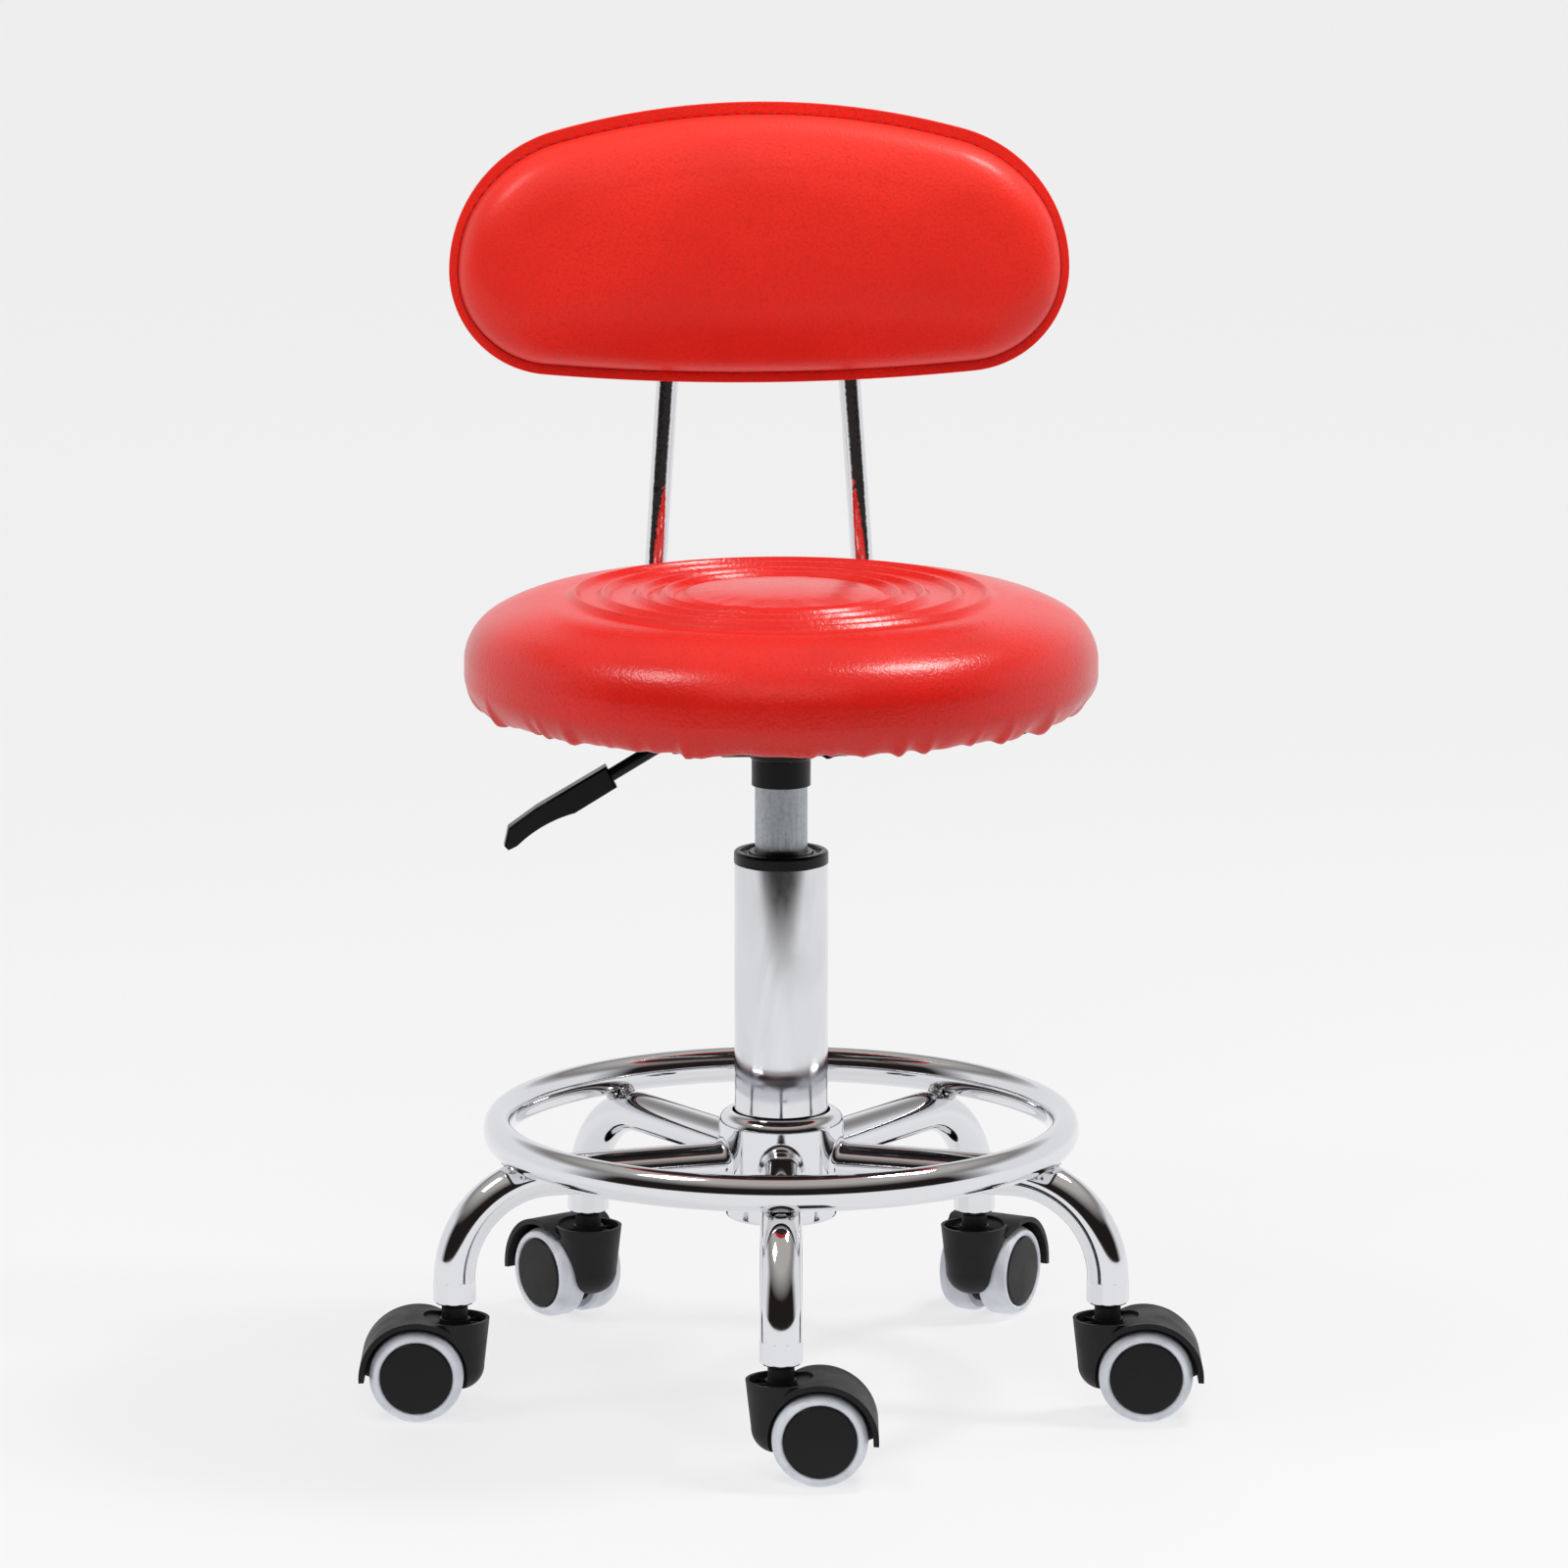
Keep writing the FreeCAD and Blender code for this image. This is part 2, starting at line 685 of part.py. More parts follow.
def make_seat_plate():
    """Pressed plate under the seat: flange, deep pan, welded socket for the gas cylinder and
    two ears that carry the lever's pivot."""
    body = new_body("seat_plate")
    flange_bottom = s.board_bottom - s.lining_thickness - s.steel
    flange_top = flange_bottom + s.steel
    sketch = new_sketch(body, "XY_Plane", flange_bottom)
    outline(sketch, box_corners(size(0), size(0), s.flange_half_width, s.flange_half_depth))
    pad(body, sketch, s.steel)
    sketch = new_sketch(body, "XY_Plane", s.pan_bottom)
    outline(sketch, box_corners(size(0), size(0), s.pan_half, s.pan_half))
    pan = pad(body, sketch, flange_top - s.pan_bottom)
    half = s.pan_half.number

    def is_pan_corner(edge):
        """Upright corners of the pan and the edges of its floor."""
        box = edge.BoundBox
        below = box.ZMax < flange_bottom.number + 0.1
        return below and box.XMax < half + 0.1 and box.YMax < half + 0.1

    body.Tip = round_edges(body, pan, 6.0, is_pan_corner)
    sketch = new_sketch(body, "XY_Plane", flange_top)
    inner = s.pan_half - s.steel
    outline(sketch, rounded_box(inner, inner, 4.0))
    pocket(body, sketch, flange_top - s.pan_bottom - s.steel)
    socket_wall = s.mount_radius - s.cylinder_radius
    bead = s.pan_bottom - 7.0
    revolve(body, [
        (s.cylinder_radius, s.mount_bottom),
        (s.cylinder_radius + socket_wall, s.mount_bottom),
        (s.mount_radius, bead),
        (s.mount_radius + 1.3, bead + 2.6, 2.6),
        (s.mount_radius + 2.4, s.pan_bottom),
        (s.mount_radius + 2.4, s.pan_bottom + s.steel),
        (s.cylinder_radius, s.pan_bottom + s.steel)])
    sketch = new_sketch(body, "XY_Plane", s.pan_bottom + s.steel)
    circle(sketch, 0, 0, s.cylinder_radius)
    pocket(body, sketch, s.steel * 3)
    sketch = new_sketch(body, "YZ_Plane", -s.pan_half - 1.0)
    circle(sketch, 0, s.lever_height, s.lever_radius + 2.0)
    pocket(body, sketch, s.steel + 2.0, backwards=True)
    sketch = new_sketch(body, "YZ_Plane", -s.lever_pivot - 4.0)
    ear_foot = s.pan_bottom + s.steel
    ear_top = s.lever_height + 4.0
    ear_middle = (ear_foot + ear_top) * 0.5
    outline(sketch, box_corners(s.lever_radius + 1.7, ear_middle, size(1.0),
                                (ear_top - ear_foot) * 0.5))
    ear = pad(body, sketch, 8.0)
    mirror(body, ear, "XZ_Plane")
    sketch = new_sketch(body, "XZ_Plane")
    circle(sketch, -s.lever_pivot, s.lever_height, s.pivot_radius)
    pocket(body, sketch, 16.0, midplane=True)
    for side in (-1, 1):
        sketch = new_sketch(body, "XY_Plane", flange_top)
        for end in (-1, 1):
            circle(sketch, side * (s.flange_half_width - 12.0),
                   end * (s.flange_half_depth - 12.0), 2.1)
        pocket(body, sketch, s.steel)
    return keep("seat_plate", body)


TURN_IN = 14.0        # how far the cover is turned in under the board


def rounded_box(half_x, half_y, radius):
    """A rectangle about the origin with round corners."""
    x, y = half_x - radius, half_y - radius
    return [(-x, -half_y), (x, -half_y), (half_x, -y, radius), (half_x, y),
            (x, half_y, radius), (-x, half_y), (-half_x, y, radius), (-half_x, -y),
            (-x, -half_y, radius)][1:]


def seat_section(inset):
    """Outer half of the seat's section, from its lower edge up to the flat of its top, moved
    inwards by the inset."""
    upper = s.shoulder_round - inset
    tilt = math.radians(60.0)
    joint_x = s.seat_flat + upper * math.cos(tilt)
    joint_z = s.seat_top - s.shoulder_round + upper * math.sin(tilt)
    side = s.seat_radius - inset
    lower = (side - joint_x) * (1.0 / (1.0 - math.cos(tilt)))
    side_z = joint_z - lower * math.sin(tilt)
    foot = s.board_bottom - s.cover_thickness
    under = 12.0
    return [
        (side - under + inset, foot + inset),
        (side, foot + under + 1.0, under + 4.0),
        (side, side_z),
        (joint_x, joint_z, lower),
        (s.seat_flat, s.seat_top - inset, upper)]


def make_seat_cover():
    """Vinyl cover stretched over the foam and turned in under the board."""
    body = new_body("seat_cover")
    skin = s.cover_thickness
    outer = seat_section(size(0))
    inner = seat_section(skin)
    turn_in = s.board_radius - TURN_IN
    lip = outer[0][1]
    path = [(turn_in, lip)] + outer + [(0, s.seat_top), (0, s.seat_top - skin)]
    path += reversed_section(inner) + [(turn_in, lip + skin)]
    revolve(body, path)
    return keep("seat_cover", body)


def reversed_section(corners):
    """The same edges, walked the other way."""
    back = []
    radius = None
    for corner in reversed(corners):
        back.append(corner[:2] if radius is None else corner[:2] + (-radius,))
        radius = corner[2] if len(corner) == 3 else None
    return back


def make_seat_foam():
    """Foam pad on the board, which also comes down round the board's edge."""
    body = new_body("seat_foam")
    board_top = s.board_bottom + s.board_thickness
    inner = seat_section(s.cover_thickness)
    revolve(body, [
        (0, board_top), (s.board_radius, board_top), (s.board_radius, inner[0][1])]
        + inner + [(0, s.seat_top - s.cover_thickness)])
    return keep("seat_foam", body)


def make_seat_board(screws):
    """Round plywood board with a hole for each screw."""
    body = new_body("seat_board_blank")
    sketch = new_sketch(body, "XY_Plane", s.board_bottom)
    circle(sketch, 0, 0, s.board_radius)
    pad(body, sketch, s.board_thickness)
    return keep("seat_board", cut("seat_board", body, screws))


def make_seat_lining(screws):
    """Black cloth under the board; its border lies below the turned-in cover."""
    body = new_body("seat_lining_blank")
    cloth, step = s.lining_thickness, s.cover_thickness
    upper, border = s.board_bottom, s.board_radius - TURN_IN
    revolve(body, [
        (0, upper - cloth), (border - 1.8, upper - cloth), (border - 0.9, upper - cloth - step),
        (s.lining_radius, upper - cloth - step), (s.lining_radius, upper - step),
        (border - 0.1, upper - step), (border - 0.9, upper), (0, upper)])
    return keep("seat_lining", cut("seat_lining", body, screws))


def make_screw(placement, length):
    """Pan-head screw along its own Z, its head's outer face at the origin."""
    body = new_body("screw")
    revolve(body, [
        (0, 0), (3.2, 0), (4.6, 1.4, 2.2), (4.6, 2.6), (2.1, 2.6),
        (2.1, length - 2.0), (0, length)])
    body.Placement = placement
    return body


def seat_screws():
    """Screws up through the seat plate's flange and through the posts' feet."""
    screws = []
    flange_bottom = (s.board_bottom - s.lining_thickness - s.steel).number
    for side in (-1, 1):
        for end in (-1, 1):
            x = side * (s.flange_half_width.number - 12.0)
            y = end * (s.flange_half_depth.number - 12.0)
            screws.append(make_screw(moved(x, y, flange_bottom - 2.6), 13.0))
        foot_bottom = POST_HEIGHT + (s.post_radius + s.cover_thickness - s.tab_thickness).number
        for y in POST_SCREWS:
            x = side * s.post_spread.number
            screws.append(make_screw(moved(x, y, foot_bottom - 2.6), 15.0))
    return screws


# ---------------------------------------------------------------- lever

def make_lever_rod():
    """Rod over the valve pin, through the pan's wall and down to the grip.  The body's X
    points away from the column, so it is turned half round at the end."""
    body = new_body("lever_rod")
    slope = math.radians(s.lever_slope.number)
    bend = 10.0
    run = bend * math.tan(slope / 2)
    length = s.grip_start.number + 34.0
    corner = s.lever_corner
    path = [
        (size(-3.0), s.lever_height),
        (corner - run, s.lever_height),
        (corner + run * math.cos(slope), s.lever_height - run * math.sin(slope), -bend),
        (corner + length * math.cos(slope), s.lever_height - length * math.sin(slope))]
    tube_along(body, path, s.lever_radius)
    sketch = new_sketch(body, "XZ_Plane")
    circle(sketch, s.lever_pivot, s.lever_height, s.pivot_radius + s.running_gap)
    pocket(body, sketch, midplane=True)
    return keep("lever_rod", body, turned(180))


def make_lever_grip():
    """Moulded grip: straight socket end, hollowed underside and a blunt tip.  Its X runs down
    the lever from the rod's bend and its Z is square to that."""
    body = new_body("lever_grip")
    start = s.grip_start
    sketch = new_sketch(body, "XZ_Plane")
    outline(sketch, [
        (start + 1.0, -6.6),
        (start + 27.4, -6.8),
        (start + 62.0, -5.8, -68.0),
        (start + 67.6, -5.2),
        (start + 68.4, -2.2),
        (start + 61.5, 5.0),
        (start + 43.0, 6.6),
        (start, 6.2)])
    pad(body, sketch, s.grip_half_width * 2, midplane=True)
    sketch = new_sketch(body, "YZ_Plane", start - 1.0)
    circle(sketch, 0, 0, s.lever_radius)
    bored = pocket(body, sketch, 35.0, backwards=True)
    half = s.grip_half_width.number

    def is_long_side(edge):
        """The edges round the two flat sides, away from the socket end."""
        box = edge.BoundBox
        on_side = box.YMax - box.YMin < 0.1 and abs(abs(box.YMax) - half) < 0.1
        return on_side and edge.Length > 8.0

    body.Tip = round_edges(body, bored, 1.2, is_long_side)
    corner = Vector(-s.lever_corner.number, 0, s.lever_height.number)
    tilt = Rotation(Vector(0, 1, 0), -s.lever_slope.number)
    half_turn = Rotation(Vector(0, 0, 1), 180)
    return keep("lever_grip", body, Placement(corner, tilt.multiply(half_turn)))


def make_lever_pivot():
    """Pin through the pan's ears and the lever rod."""
    body = new_body("lever_pivot")
    length = (s.lever_radius + 3.4) * 2
    sketch = new_sketch(body, "XZ_Plane")
    circle(sketch, -s.lever_pivot, s.lever_height, s.pivot_radius)
    pad(body, sketch, length, midplane=True)
    return keep("lever_pivot", body)


# ---------------------------------------------------------------- backrest

UNDER_COVER = s.lining_thickness + s.cover_thickness + 0.2
POST_HEIGHT = (s.board_bottom - UNDER_COVER - s.post_radius).number
POST_SCREWS = (s.post_foot.number - 24.0, s.post_foot.number - 8.0)
TAB_SCREWS = (s.post_top.number + 6.0, s.post_top.number + 18.0)


def post_frame(side):
    """Where a post stands: its own X runs to the back and its Z leans to the middle."""
    splay = Rotation(Vector(0, 1, 0), -side * s.post_splay.number)
    to_back = Rotation(Vector(0, 0, 1), 90)
    place = Vector(side * s.post_spread.number, 0, POST_HEIGHT)
    return Placement(place, splay.multiply(to_back))


def make_post(name, side):
    """Chromed rod with a flattened foot under the board and a flattened tab behind the
    backrest."""
    body = new_body(name)
    lean = math.radians(s.post_lean.number)
    angle = math.pi / 2 - lean
    bend = s.post_bend
    run = bend * math.tan(angle / 2)
    up = s.post_top
    path = [
        (s.post_foot, 0),
        (s.post_back - run, 0),
        (s.post_back + run * math.sin(lean), run * math.cos(lean), bend),
        (s.post_back + up * math.sin(lean), up * math.cos(lean))]
    tube_along(body, path, s.post_radius)
    foot = new_body(name + "_foot")
    sketch = new_sketch(foot, "XY_Plane", s.post_radius + s.cover_thickness - s.tab_thickness)
    outline(sketch, box_corners(s.post_foot - 14.0, size(0), size(18.0), size(8.0)))
    for y in POST_SCREWS:
        circle(sketch, y, 0, 2.1)
    pad(foot, sketch, s.tab_thickness)
    foot.Placement = Placement(Vector(), Rotation(Vector(1, 0, 0), side * s.post_splay.number))
    tab = new_body(name + "_tab")
    sketch = new_sketch(tab, "YZ_Plane", -s.post_radius)
    outline(sketch, box_corners(size(0), up + 6.0, size(8.0), size(18.0)))
    for rise in TAB_SCREWS:
        circle(sketch, 0, rise, 2.1)
    pad(tab, sketch, s.tab_thickness)
    tab.Placement = Placement(Vector(s.post_back.number, 0, 0),
                              Rotation(Vector(0, 1, 0), s.post_lean.number))
    post = doc.addObject("Part::MultiFuse", name)
    post.Shapes = [body, foot, tab]
    return keep(name, post, post_frame(side))


def back_frame():
    """Middle of the backrest's rear face: X level, -Y to the sitter, Z up the backrest."""
    lean = s.post_lean.number
    rise = s.back_height.number - POST_HEIGHT
    front_of_post = s.post_radius.number - 0.5
    y = s.post_back.number + rise * math.tan(math.radians(lean)) - front_of_post
    return Placement(Vector(0, y, s.back_height.number), Rotation(Vector(1, 0, 0), -lean))


def back_outline(inset):
    """Outline of the backrest, moved inwards by the inset: an arched top, round ends and a
    nearly straight foot, all tangent arcs."""
    half, tall = s.back_half_width, s.back_half_height
    crown, foot = s.back_crown, s.back_foot
    across, up = sine(s.back_shoulder), cosine(s.back_shoulder)
    upper = (half - crown * across) / (1.0 - across)
    middle = tall - crown + (crown - upper) * up
    drop = foot - tall - middle
    lower = (foot * foot - half * half - drop * drop) / ((foot - half) * 2)
    reach = foot - lower
    top_x, top_z = (crown - inset) * across, tall - crown + (crown - inset) * up
    low_x = (foot - inset) * (half - lower) / reach
    low_z = foot - tall - (foot - inset) * drop / reach
    end_x = half - inset
    return [
        (top_x, top_z, upper - inset), (-top_x, top_z, crown - inset),
        (-end_x, middle, upper - inset), (-low_x, low_z, lower - inset),
        (low_x, low_z, foot - inset), (end_x, middle, lower - inset)]


def back_slab(name, rear, front, inset):
    """A slab curved round the sitter, between two depths in front of the backrest's rear
    face, cut to the backrest's outline."""
    body = new_body(name)
    reach = 176.0
    sketch = new_sketch(body, "XY_Plane")
    rear_radius, front_radius = s.back_curve - rear, s.back_curve - front
    ends = [root(radius * radius - reach ** 2) - s.back_curve
            for radius in (rear_radius, front_radius)]
    outline(sketch, [
        (-reach, ends[1]), (reach, ends[1], -front_radius),
        (reach, ends[0]), (-reach, ends[0], rear_radius)])
    pad(body, sketch, 200.0, midplane=True)
    sketch = new_sketch(body, "XZ_Plane")
    outline(sketch, box_corners(size(0), size(0), size(200.0), size(120.0)))
    outline(sketch, back_outline(inset))
    pocket(body, sketch, midplane=True)
    return body


def round_front(body, radius, middle):
    """Round the edge of a backrest slab's front face: everything in front of its middle."""
    limit = -s.back_curve.number + (s.back_curve - middle).number

    def is_front(edge):
        points = edge.discretize(5)
        depths = [p.y + p.x ** 2 / (2 * s.back_curve.number) for p in points]
        return max(depths) < limit

    body.Tip = round_edges(body, body.Tip, radius, is_front)
    return body


def make_backrest(screws):
    """Board, foam and the two sewn vinyl panels; the seam allowance is the flat flange."""
    place = back_frame()
    skin = s.back_skin
    board_front = skin + s.back_board_thickness
    foam_front = board_front + s.back_foam_thickness
    board_inset = 7.0 + skin.number
    foam_round, board_middle = 17.0, board_front + 1.0
    local_screws = doc.addObject("Part::Compound", "back_screw_holes")
    local_screws.Links = screws
    local_screws.Placement = place.inverse()

    def board():
        return back_slab("back_board_blank", skin, board_front, board_inset)

    def foam():
        blank = back_slab("back_foam", board_front, foam_front, board_inset)
        return round_front(blank, foam_round, board_middle)

    lining = back_slab("back_lining_blank", size(0), skin, 0.0)
    keep("back_lining", cut("back_lining", lining, local_screws), place)
    keep("back_board", cut("back_board", board(), local_screws), place)
    keep("back_foam", foam(), place)
    dome = back_slab("back_cover_dome", skin, foam_front + skin, 7.0)
    flange = back_slab("back_cover_flange", skin, skin * 2, 0.0)
    block, hollow = [doc.addObject("Part::Fuse", name) for name in ("cover_block", "cover_core")]
    block.Base = round_front(dome, foam_round + skin.number, board_middle)
    block.Tool = flange
    hollow.Base, hollow.Tool = board(), foam()
    keep("back_cover", cut("back_cover", block, hollow), place)


def back_screws():
    """Screws through the posts' upper tabs into the backrest board."""
    screws = []
    head = s.post_radius.number - s.tab_thickness.number - 2.6
    for side in (-1, 1):
        upright = Placement(Vector(s.post_back.number, 0, 0),
                            Rotation(Vector(0, 1, 0), s.post_lean.number))
        for rise in TAB_SCREWS:
            forward = Placement(Vector(-head, 0, rise), Rotation(Vector(0, 1, 0), -90))
            place = post_frame(side).multiply(upright).multiply(forward)
            screws.append(make_screw(place, 12.0))
    return screws


# ---------------------------------------------------------------- casters

def caster_frame(number):
    """A caster's own frame: Z up its swivel axis, X towards its axle."""
    spot = turned(LEG_TURNS[number]).multiply(moved(s.leg_reach.number, 0, 0))
    return Placement(spot.Base, Rotation(Vector(0, 0, 1), CASTER_TURNS[number] + BASE_TURN))


def round_axle(radius, degrees):
    """A point on a circle round the axle, in the caster's XZ plane."""
    degrees = size(degrees)
    return (s.trail + size(radius) * cosine(degrees), AXLE_HEIGHT + size(radius) * sine(degrees))


def make_housing_block():
    """Outside of a caster housing: cup, hood, web between the wheels, and neck."""
    cup = new_body("housing_cup")
    foot = s.cup_waist - s.cup_round
    revolve(cup, [
        (0, s.cup_bottom), (foot, s.cup_bottom),
        (s.cup_waist, s.cup_bottom + s.cup_round, s.cup_round),
        (s.cup_radius, s.cup_rim), (0, s.cup_rim)])
    neck = new_body("housing_neck")
    revolve(neck, [(0, 50.0), (s.neck_radius, 50.0), (s.neck_radius, s.neck_top - 0.8),
                   (s.neck_radius - 0.8, s.neck_top), (0, s.neck_top)])
    hood = new_body("housing_hood")
    sketch = new_sketch(hood, "XZ_Plane")
    low, high = -4.0, 127.0
    inside, outside = s.hood_inside, s.hood_radius
    outline(sketch, [
        round_axle(inside, low) + (-inside,), round_axle(outside, low),
        round_axle(outside, high) + (outside,), round_axle(inside, high)])
    pad(hood, sketch, s.hood_half * 2, midplane=True)
    sketch = new_sketch(hood, "XY_Plane")
    front = s.trail - s.hood_radius
    for side in (-1, 1):
        corner = [(front, side * s.hood_half * 1.2), (front, side * 17.0),
                  (size(2.0), side * 18.4), (size(13.0), side * s.hood_half * 1.001),
                  (size(13.0), side * s.hood_half * 1.2)]
        outline(sketch, corner)
    pocket(hood, sketch, midplane=True)
    web = new_body("housing_web")
    sketch = new_sketch(web, "XZ_Plane")
    middle = inside + 1.0
    outline(sketch, [
        round_axle(middle, low), round_axle(middle, high) + (middle,),
        (size(-3.0), size(42.0)), (size(-3.0), s.cup_bottom + 1.0),
        (s.trail - 7.0, AXLE_HEIGHT - 11.0), (s.trail + 7.0, AXLE_HEIGHT - 11.0, 13.0)])
    pad(web, sketch, s.web_half * 2, midplane=True)
    block = doc.addObject("Part::MultiFuse", "housing_block")
    block.Shapes = [cup, neck, hood, web]
    return block


def make_housing_hollows():
    """Everything cut from the block: wheel bays, the cup's ribbed hollow, stem and axle."""
    bays = new_body("wheel_bays")
    sketch = new_sketch(bays, "XZ_Plane", s.web_half)
    circle(sketch, s.trail, AXLE_HEIGHT, s.arch_radius)
    bay = pad(bays, sketch, 30.0)
    mirror(bays, bay, "XZ_Plane")
    hollow = new_body("cup_hollow")
    boss = s.neck_radius + 1.2
    inner_round = s.cup_round - s.cup_wall
    centre_x = s.cup_waist - s.cup_round
    centre_z = s.cup_bottom + s.cup_round
    step = boss - centre_x
    low = centre_z - root(inner_round * inner_round - step * step)
    revolve(hollow, [
        (boss, s.cup_rim + 2.0), (boss, low),
        (s.cup_waist - s.cup_wall, centre_z, inner_round),
        (s.cup_radius - s.cup_wall, s.cup_rim), (s.cup_radius - s.cup_wall, s.cup_rim + 2.0)])
    arch = new_body("arch")
    sketch = new_sketch(arch, "XZ_Plane")
    circle(sketch, s.trail, AXLE_HEIGHT, s.arch_radius + s.cup_wall)
    pad(arch, sketch, 60.0, midplane=True)
    ribs = new_body("ribs")
    sketch = new_sketch(ribs, "XY_Plane")
    outline(sketch, box_corners(size(13.0), size(0), size(7.0), size(0.6)))
    rib = pad(ribs, sketch, s.cup_rim - 2.5)
    repeat_round(ribs, rib, 8)
    kept = doc.addObject("Part::Fuse", "arch_and_ribs")
    kept.Base, kept.Tool = arch, ribs
    stem_bore = new_body("stem_bore")
    sketch = new_sketch(stem_bore, "XY_Plane", s.stem_bottom - 0.1)
    circle(sketch, 0, 0, s.stem_radius + s.running_gap)
    pad(stem_bore, sketch, 20.0)
    axle_bore = new_body("axle_bore")
    sketch = new_sketch(axle_bore, "XZ_Plane")
    circle(sketch, s.trail, AXLE_HEIGHT, s.axle_radius)
    pad(axle_bore, sketch, 20.0, midplane=True)
    hollows = doc.addObject("Part::MultiFuse", "housing_hollows")
    hollows.Shapes = [bays, cut("ribbed_hollow", hollow, kept), stem_bore, axle_bore]
    return hollows


def make_axle(name, place):
    body = new_body(name)
    sketch = new_sketch(body, "XY_Plane")
    circle(sketch, 0, 0, s.axle_radius)
    pad(body, sketch, (s.wheel_outer - 4.0) * 2, midplane=True)
    return keep(name, body, place)


def make_wheel_core(name, place):
    """Hard core with a closed, slightly domed outer face; its Z is the axle."""
    body = new_body(name)
    bore = s.axle_radius + s.running_gap
    disc_in, disc_out = s.wheel_outer - 3.0, s.wheel_outer - 0.8
    rim_in = s.wheel_inner + 0.8
    revolve(body, [
        (0, disc_in - 0.6), (bore, disc_in - 0.6), (bore, s.wheel_inner),
        (bore + 4.0, s.wheel_inner), (bore + 4.0, disc_in),
        (s.core_radius - 2.2, disc_in), (s.core_radius - 2.2, rim_in),
        (s.core_radius, rim_in), (s.core_radius, disc_out),
        (0, disc_out + 0.5)])
    return keep(name, body, place)


def make_tyre(name, place):
    """Soft pale tyre moulded round the core, with a rounded outer shoulder."""
    body = new_body(name)
    revolve(body, [
        (s.core_radius, s.wheel_inner + 0.8),
        (s.wheel_radius - 1.9, s.wheel_inner),
        (s.wheel_radius, s.wheel_inner + 1.9, 1.9),
        (s.wheel_radius, s.wheel_outer - 6.0),
        (s.wheel_radius - 3.9, s.wheel_outer, 6.4),
        (s.core_radius, s.wheel_outer - 0.8, 3.0)])
    return keep(name, body, place)


def make_casters():
    block, hollows = make_housing_block(), make_housing_hollows()
    for number in range(LEG_COUNT):
        name = "caster_%d_" % (number + 1)
        frame = caster_frame(number)
        keep(name + "housing", cut(name + "housing", block, hollows), frame)
        axle = frame.multiply(moved(s.trail.number, 0, AXLE_HEIGHT.number))
        for side, tilt in (("left", -90), ("right", 90)):
            spin = axle.multiply(Placement(Vector(), Rotation(Vector(1, 0, 0), tilt)))
            make_wheel_core(name + side + "_core", spin)
            make_tyre(name + side + "_tyre", spin)
        make_axle(name + "axle", spin)


# ---------------------------------------------------------------- build, check, export

def make_everything():
    make_hub()
    for number, turn in enumerate(LEG_TURNS, start=1):
        make_leg(number, turn)
    group("caster_sockets", [make_socket(i, turn) for i, turn in enumerate(LEG_TURNS)])
    group("caster_stems", [make_stem(i, turn) for i, turn in enumerate(LEG_TURNS)])
    make_foot_ring()
    make_column_tube()
    make_guide_collar()
    make_piston_rod()
    make_rod_retainers()
    make_gas_cylinder()
    make_valve_pin()
    make_seat_plate()
    under_screws, behind_screws = seat_screws(), back_screws()
    holes = doc.addObject("Part::Compound", "seat_screw_holes")
    holes.Links = under_screws
    make_seat_board(holes)
    make_seat_lining(holes)
    group("screws", under_screws + behind_screws)
    make_seat_foam()
    make_seat_cover()
    make_lever_rod()
    make_lever_grip()
    make_lever_pivot()
    make_post("back_post_left", -1)
    make_post("back_post_right", 1)
    make_backrest(behind_screws)
    make_casters()
    doc.recompute()


def check():
    """Stop before anything is written if any object failed."""
    failed = [o.Label for o in doc.Objects if {"Invalid", "Error"} & set(o.State)]
    bad = [name for name, thing in made.items()
           if thing.Shape.isNull() or not thing.Shape.isValid() or thing.Shape.Volume <= 0]
    if failed or bad:
        raise RuntimeError("failed: %s  bad: %s" % (failed, bad))


def export():
    os.makedirs("parts", exist_ok=True)
    for name, thing in made.items():
        thing.Shape.exportStep("parts/%s.step" % name)
        print("%-24s %10.1f mm3  %d solid(s)"
              % (name, thing.Shape.Volume, len(thing.Shape.Solids)))


make_everything()
check()
export()
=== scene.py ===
"""Rolling stylist stool: the looks of its pieces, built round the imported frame."""

import json
import math

import bmesh
import bpy
import numpy as np
from mathutils import Matrix, Vector


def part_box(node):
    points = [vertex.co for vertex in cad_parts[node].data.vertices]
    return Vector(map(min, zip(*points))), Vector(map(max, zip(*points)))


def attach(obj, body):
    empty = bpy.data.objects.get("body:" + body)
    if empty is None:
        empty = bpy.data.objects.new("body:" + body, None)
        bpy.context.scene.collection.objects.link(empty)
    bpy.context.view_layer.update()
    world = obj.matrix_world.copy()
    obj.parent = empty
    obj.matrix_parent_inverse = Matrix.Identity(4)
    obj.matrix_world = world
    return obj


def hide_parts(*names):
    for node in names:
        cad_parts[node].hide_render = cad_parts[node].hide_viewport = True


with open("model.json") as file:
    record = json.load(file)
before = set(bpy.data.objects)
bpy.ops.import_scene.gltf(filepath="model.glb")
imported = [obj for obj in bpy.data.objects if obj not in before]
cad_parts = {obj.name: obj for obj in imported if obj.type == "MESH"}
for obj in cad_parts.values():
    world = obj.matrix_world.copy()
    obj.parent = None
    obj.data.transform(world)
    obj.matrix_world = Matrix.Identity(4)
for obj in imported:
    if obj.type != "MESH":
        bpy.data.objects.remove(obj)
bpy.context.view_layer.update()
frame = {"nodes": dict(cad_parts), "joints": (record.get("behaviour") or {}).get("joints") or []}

bl_info = {
    "name": "Rolling stylist stool",
    "version": (1, 0, 0),
    "blender": (4, 5, 0),
    "location": "3D View > Sidebar > Stool",
    "description": "Upholstery, chrome, casters and studio of a rolling stylist stool",
    "category": "Object",
}

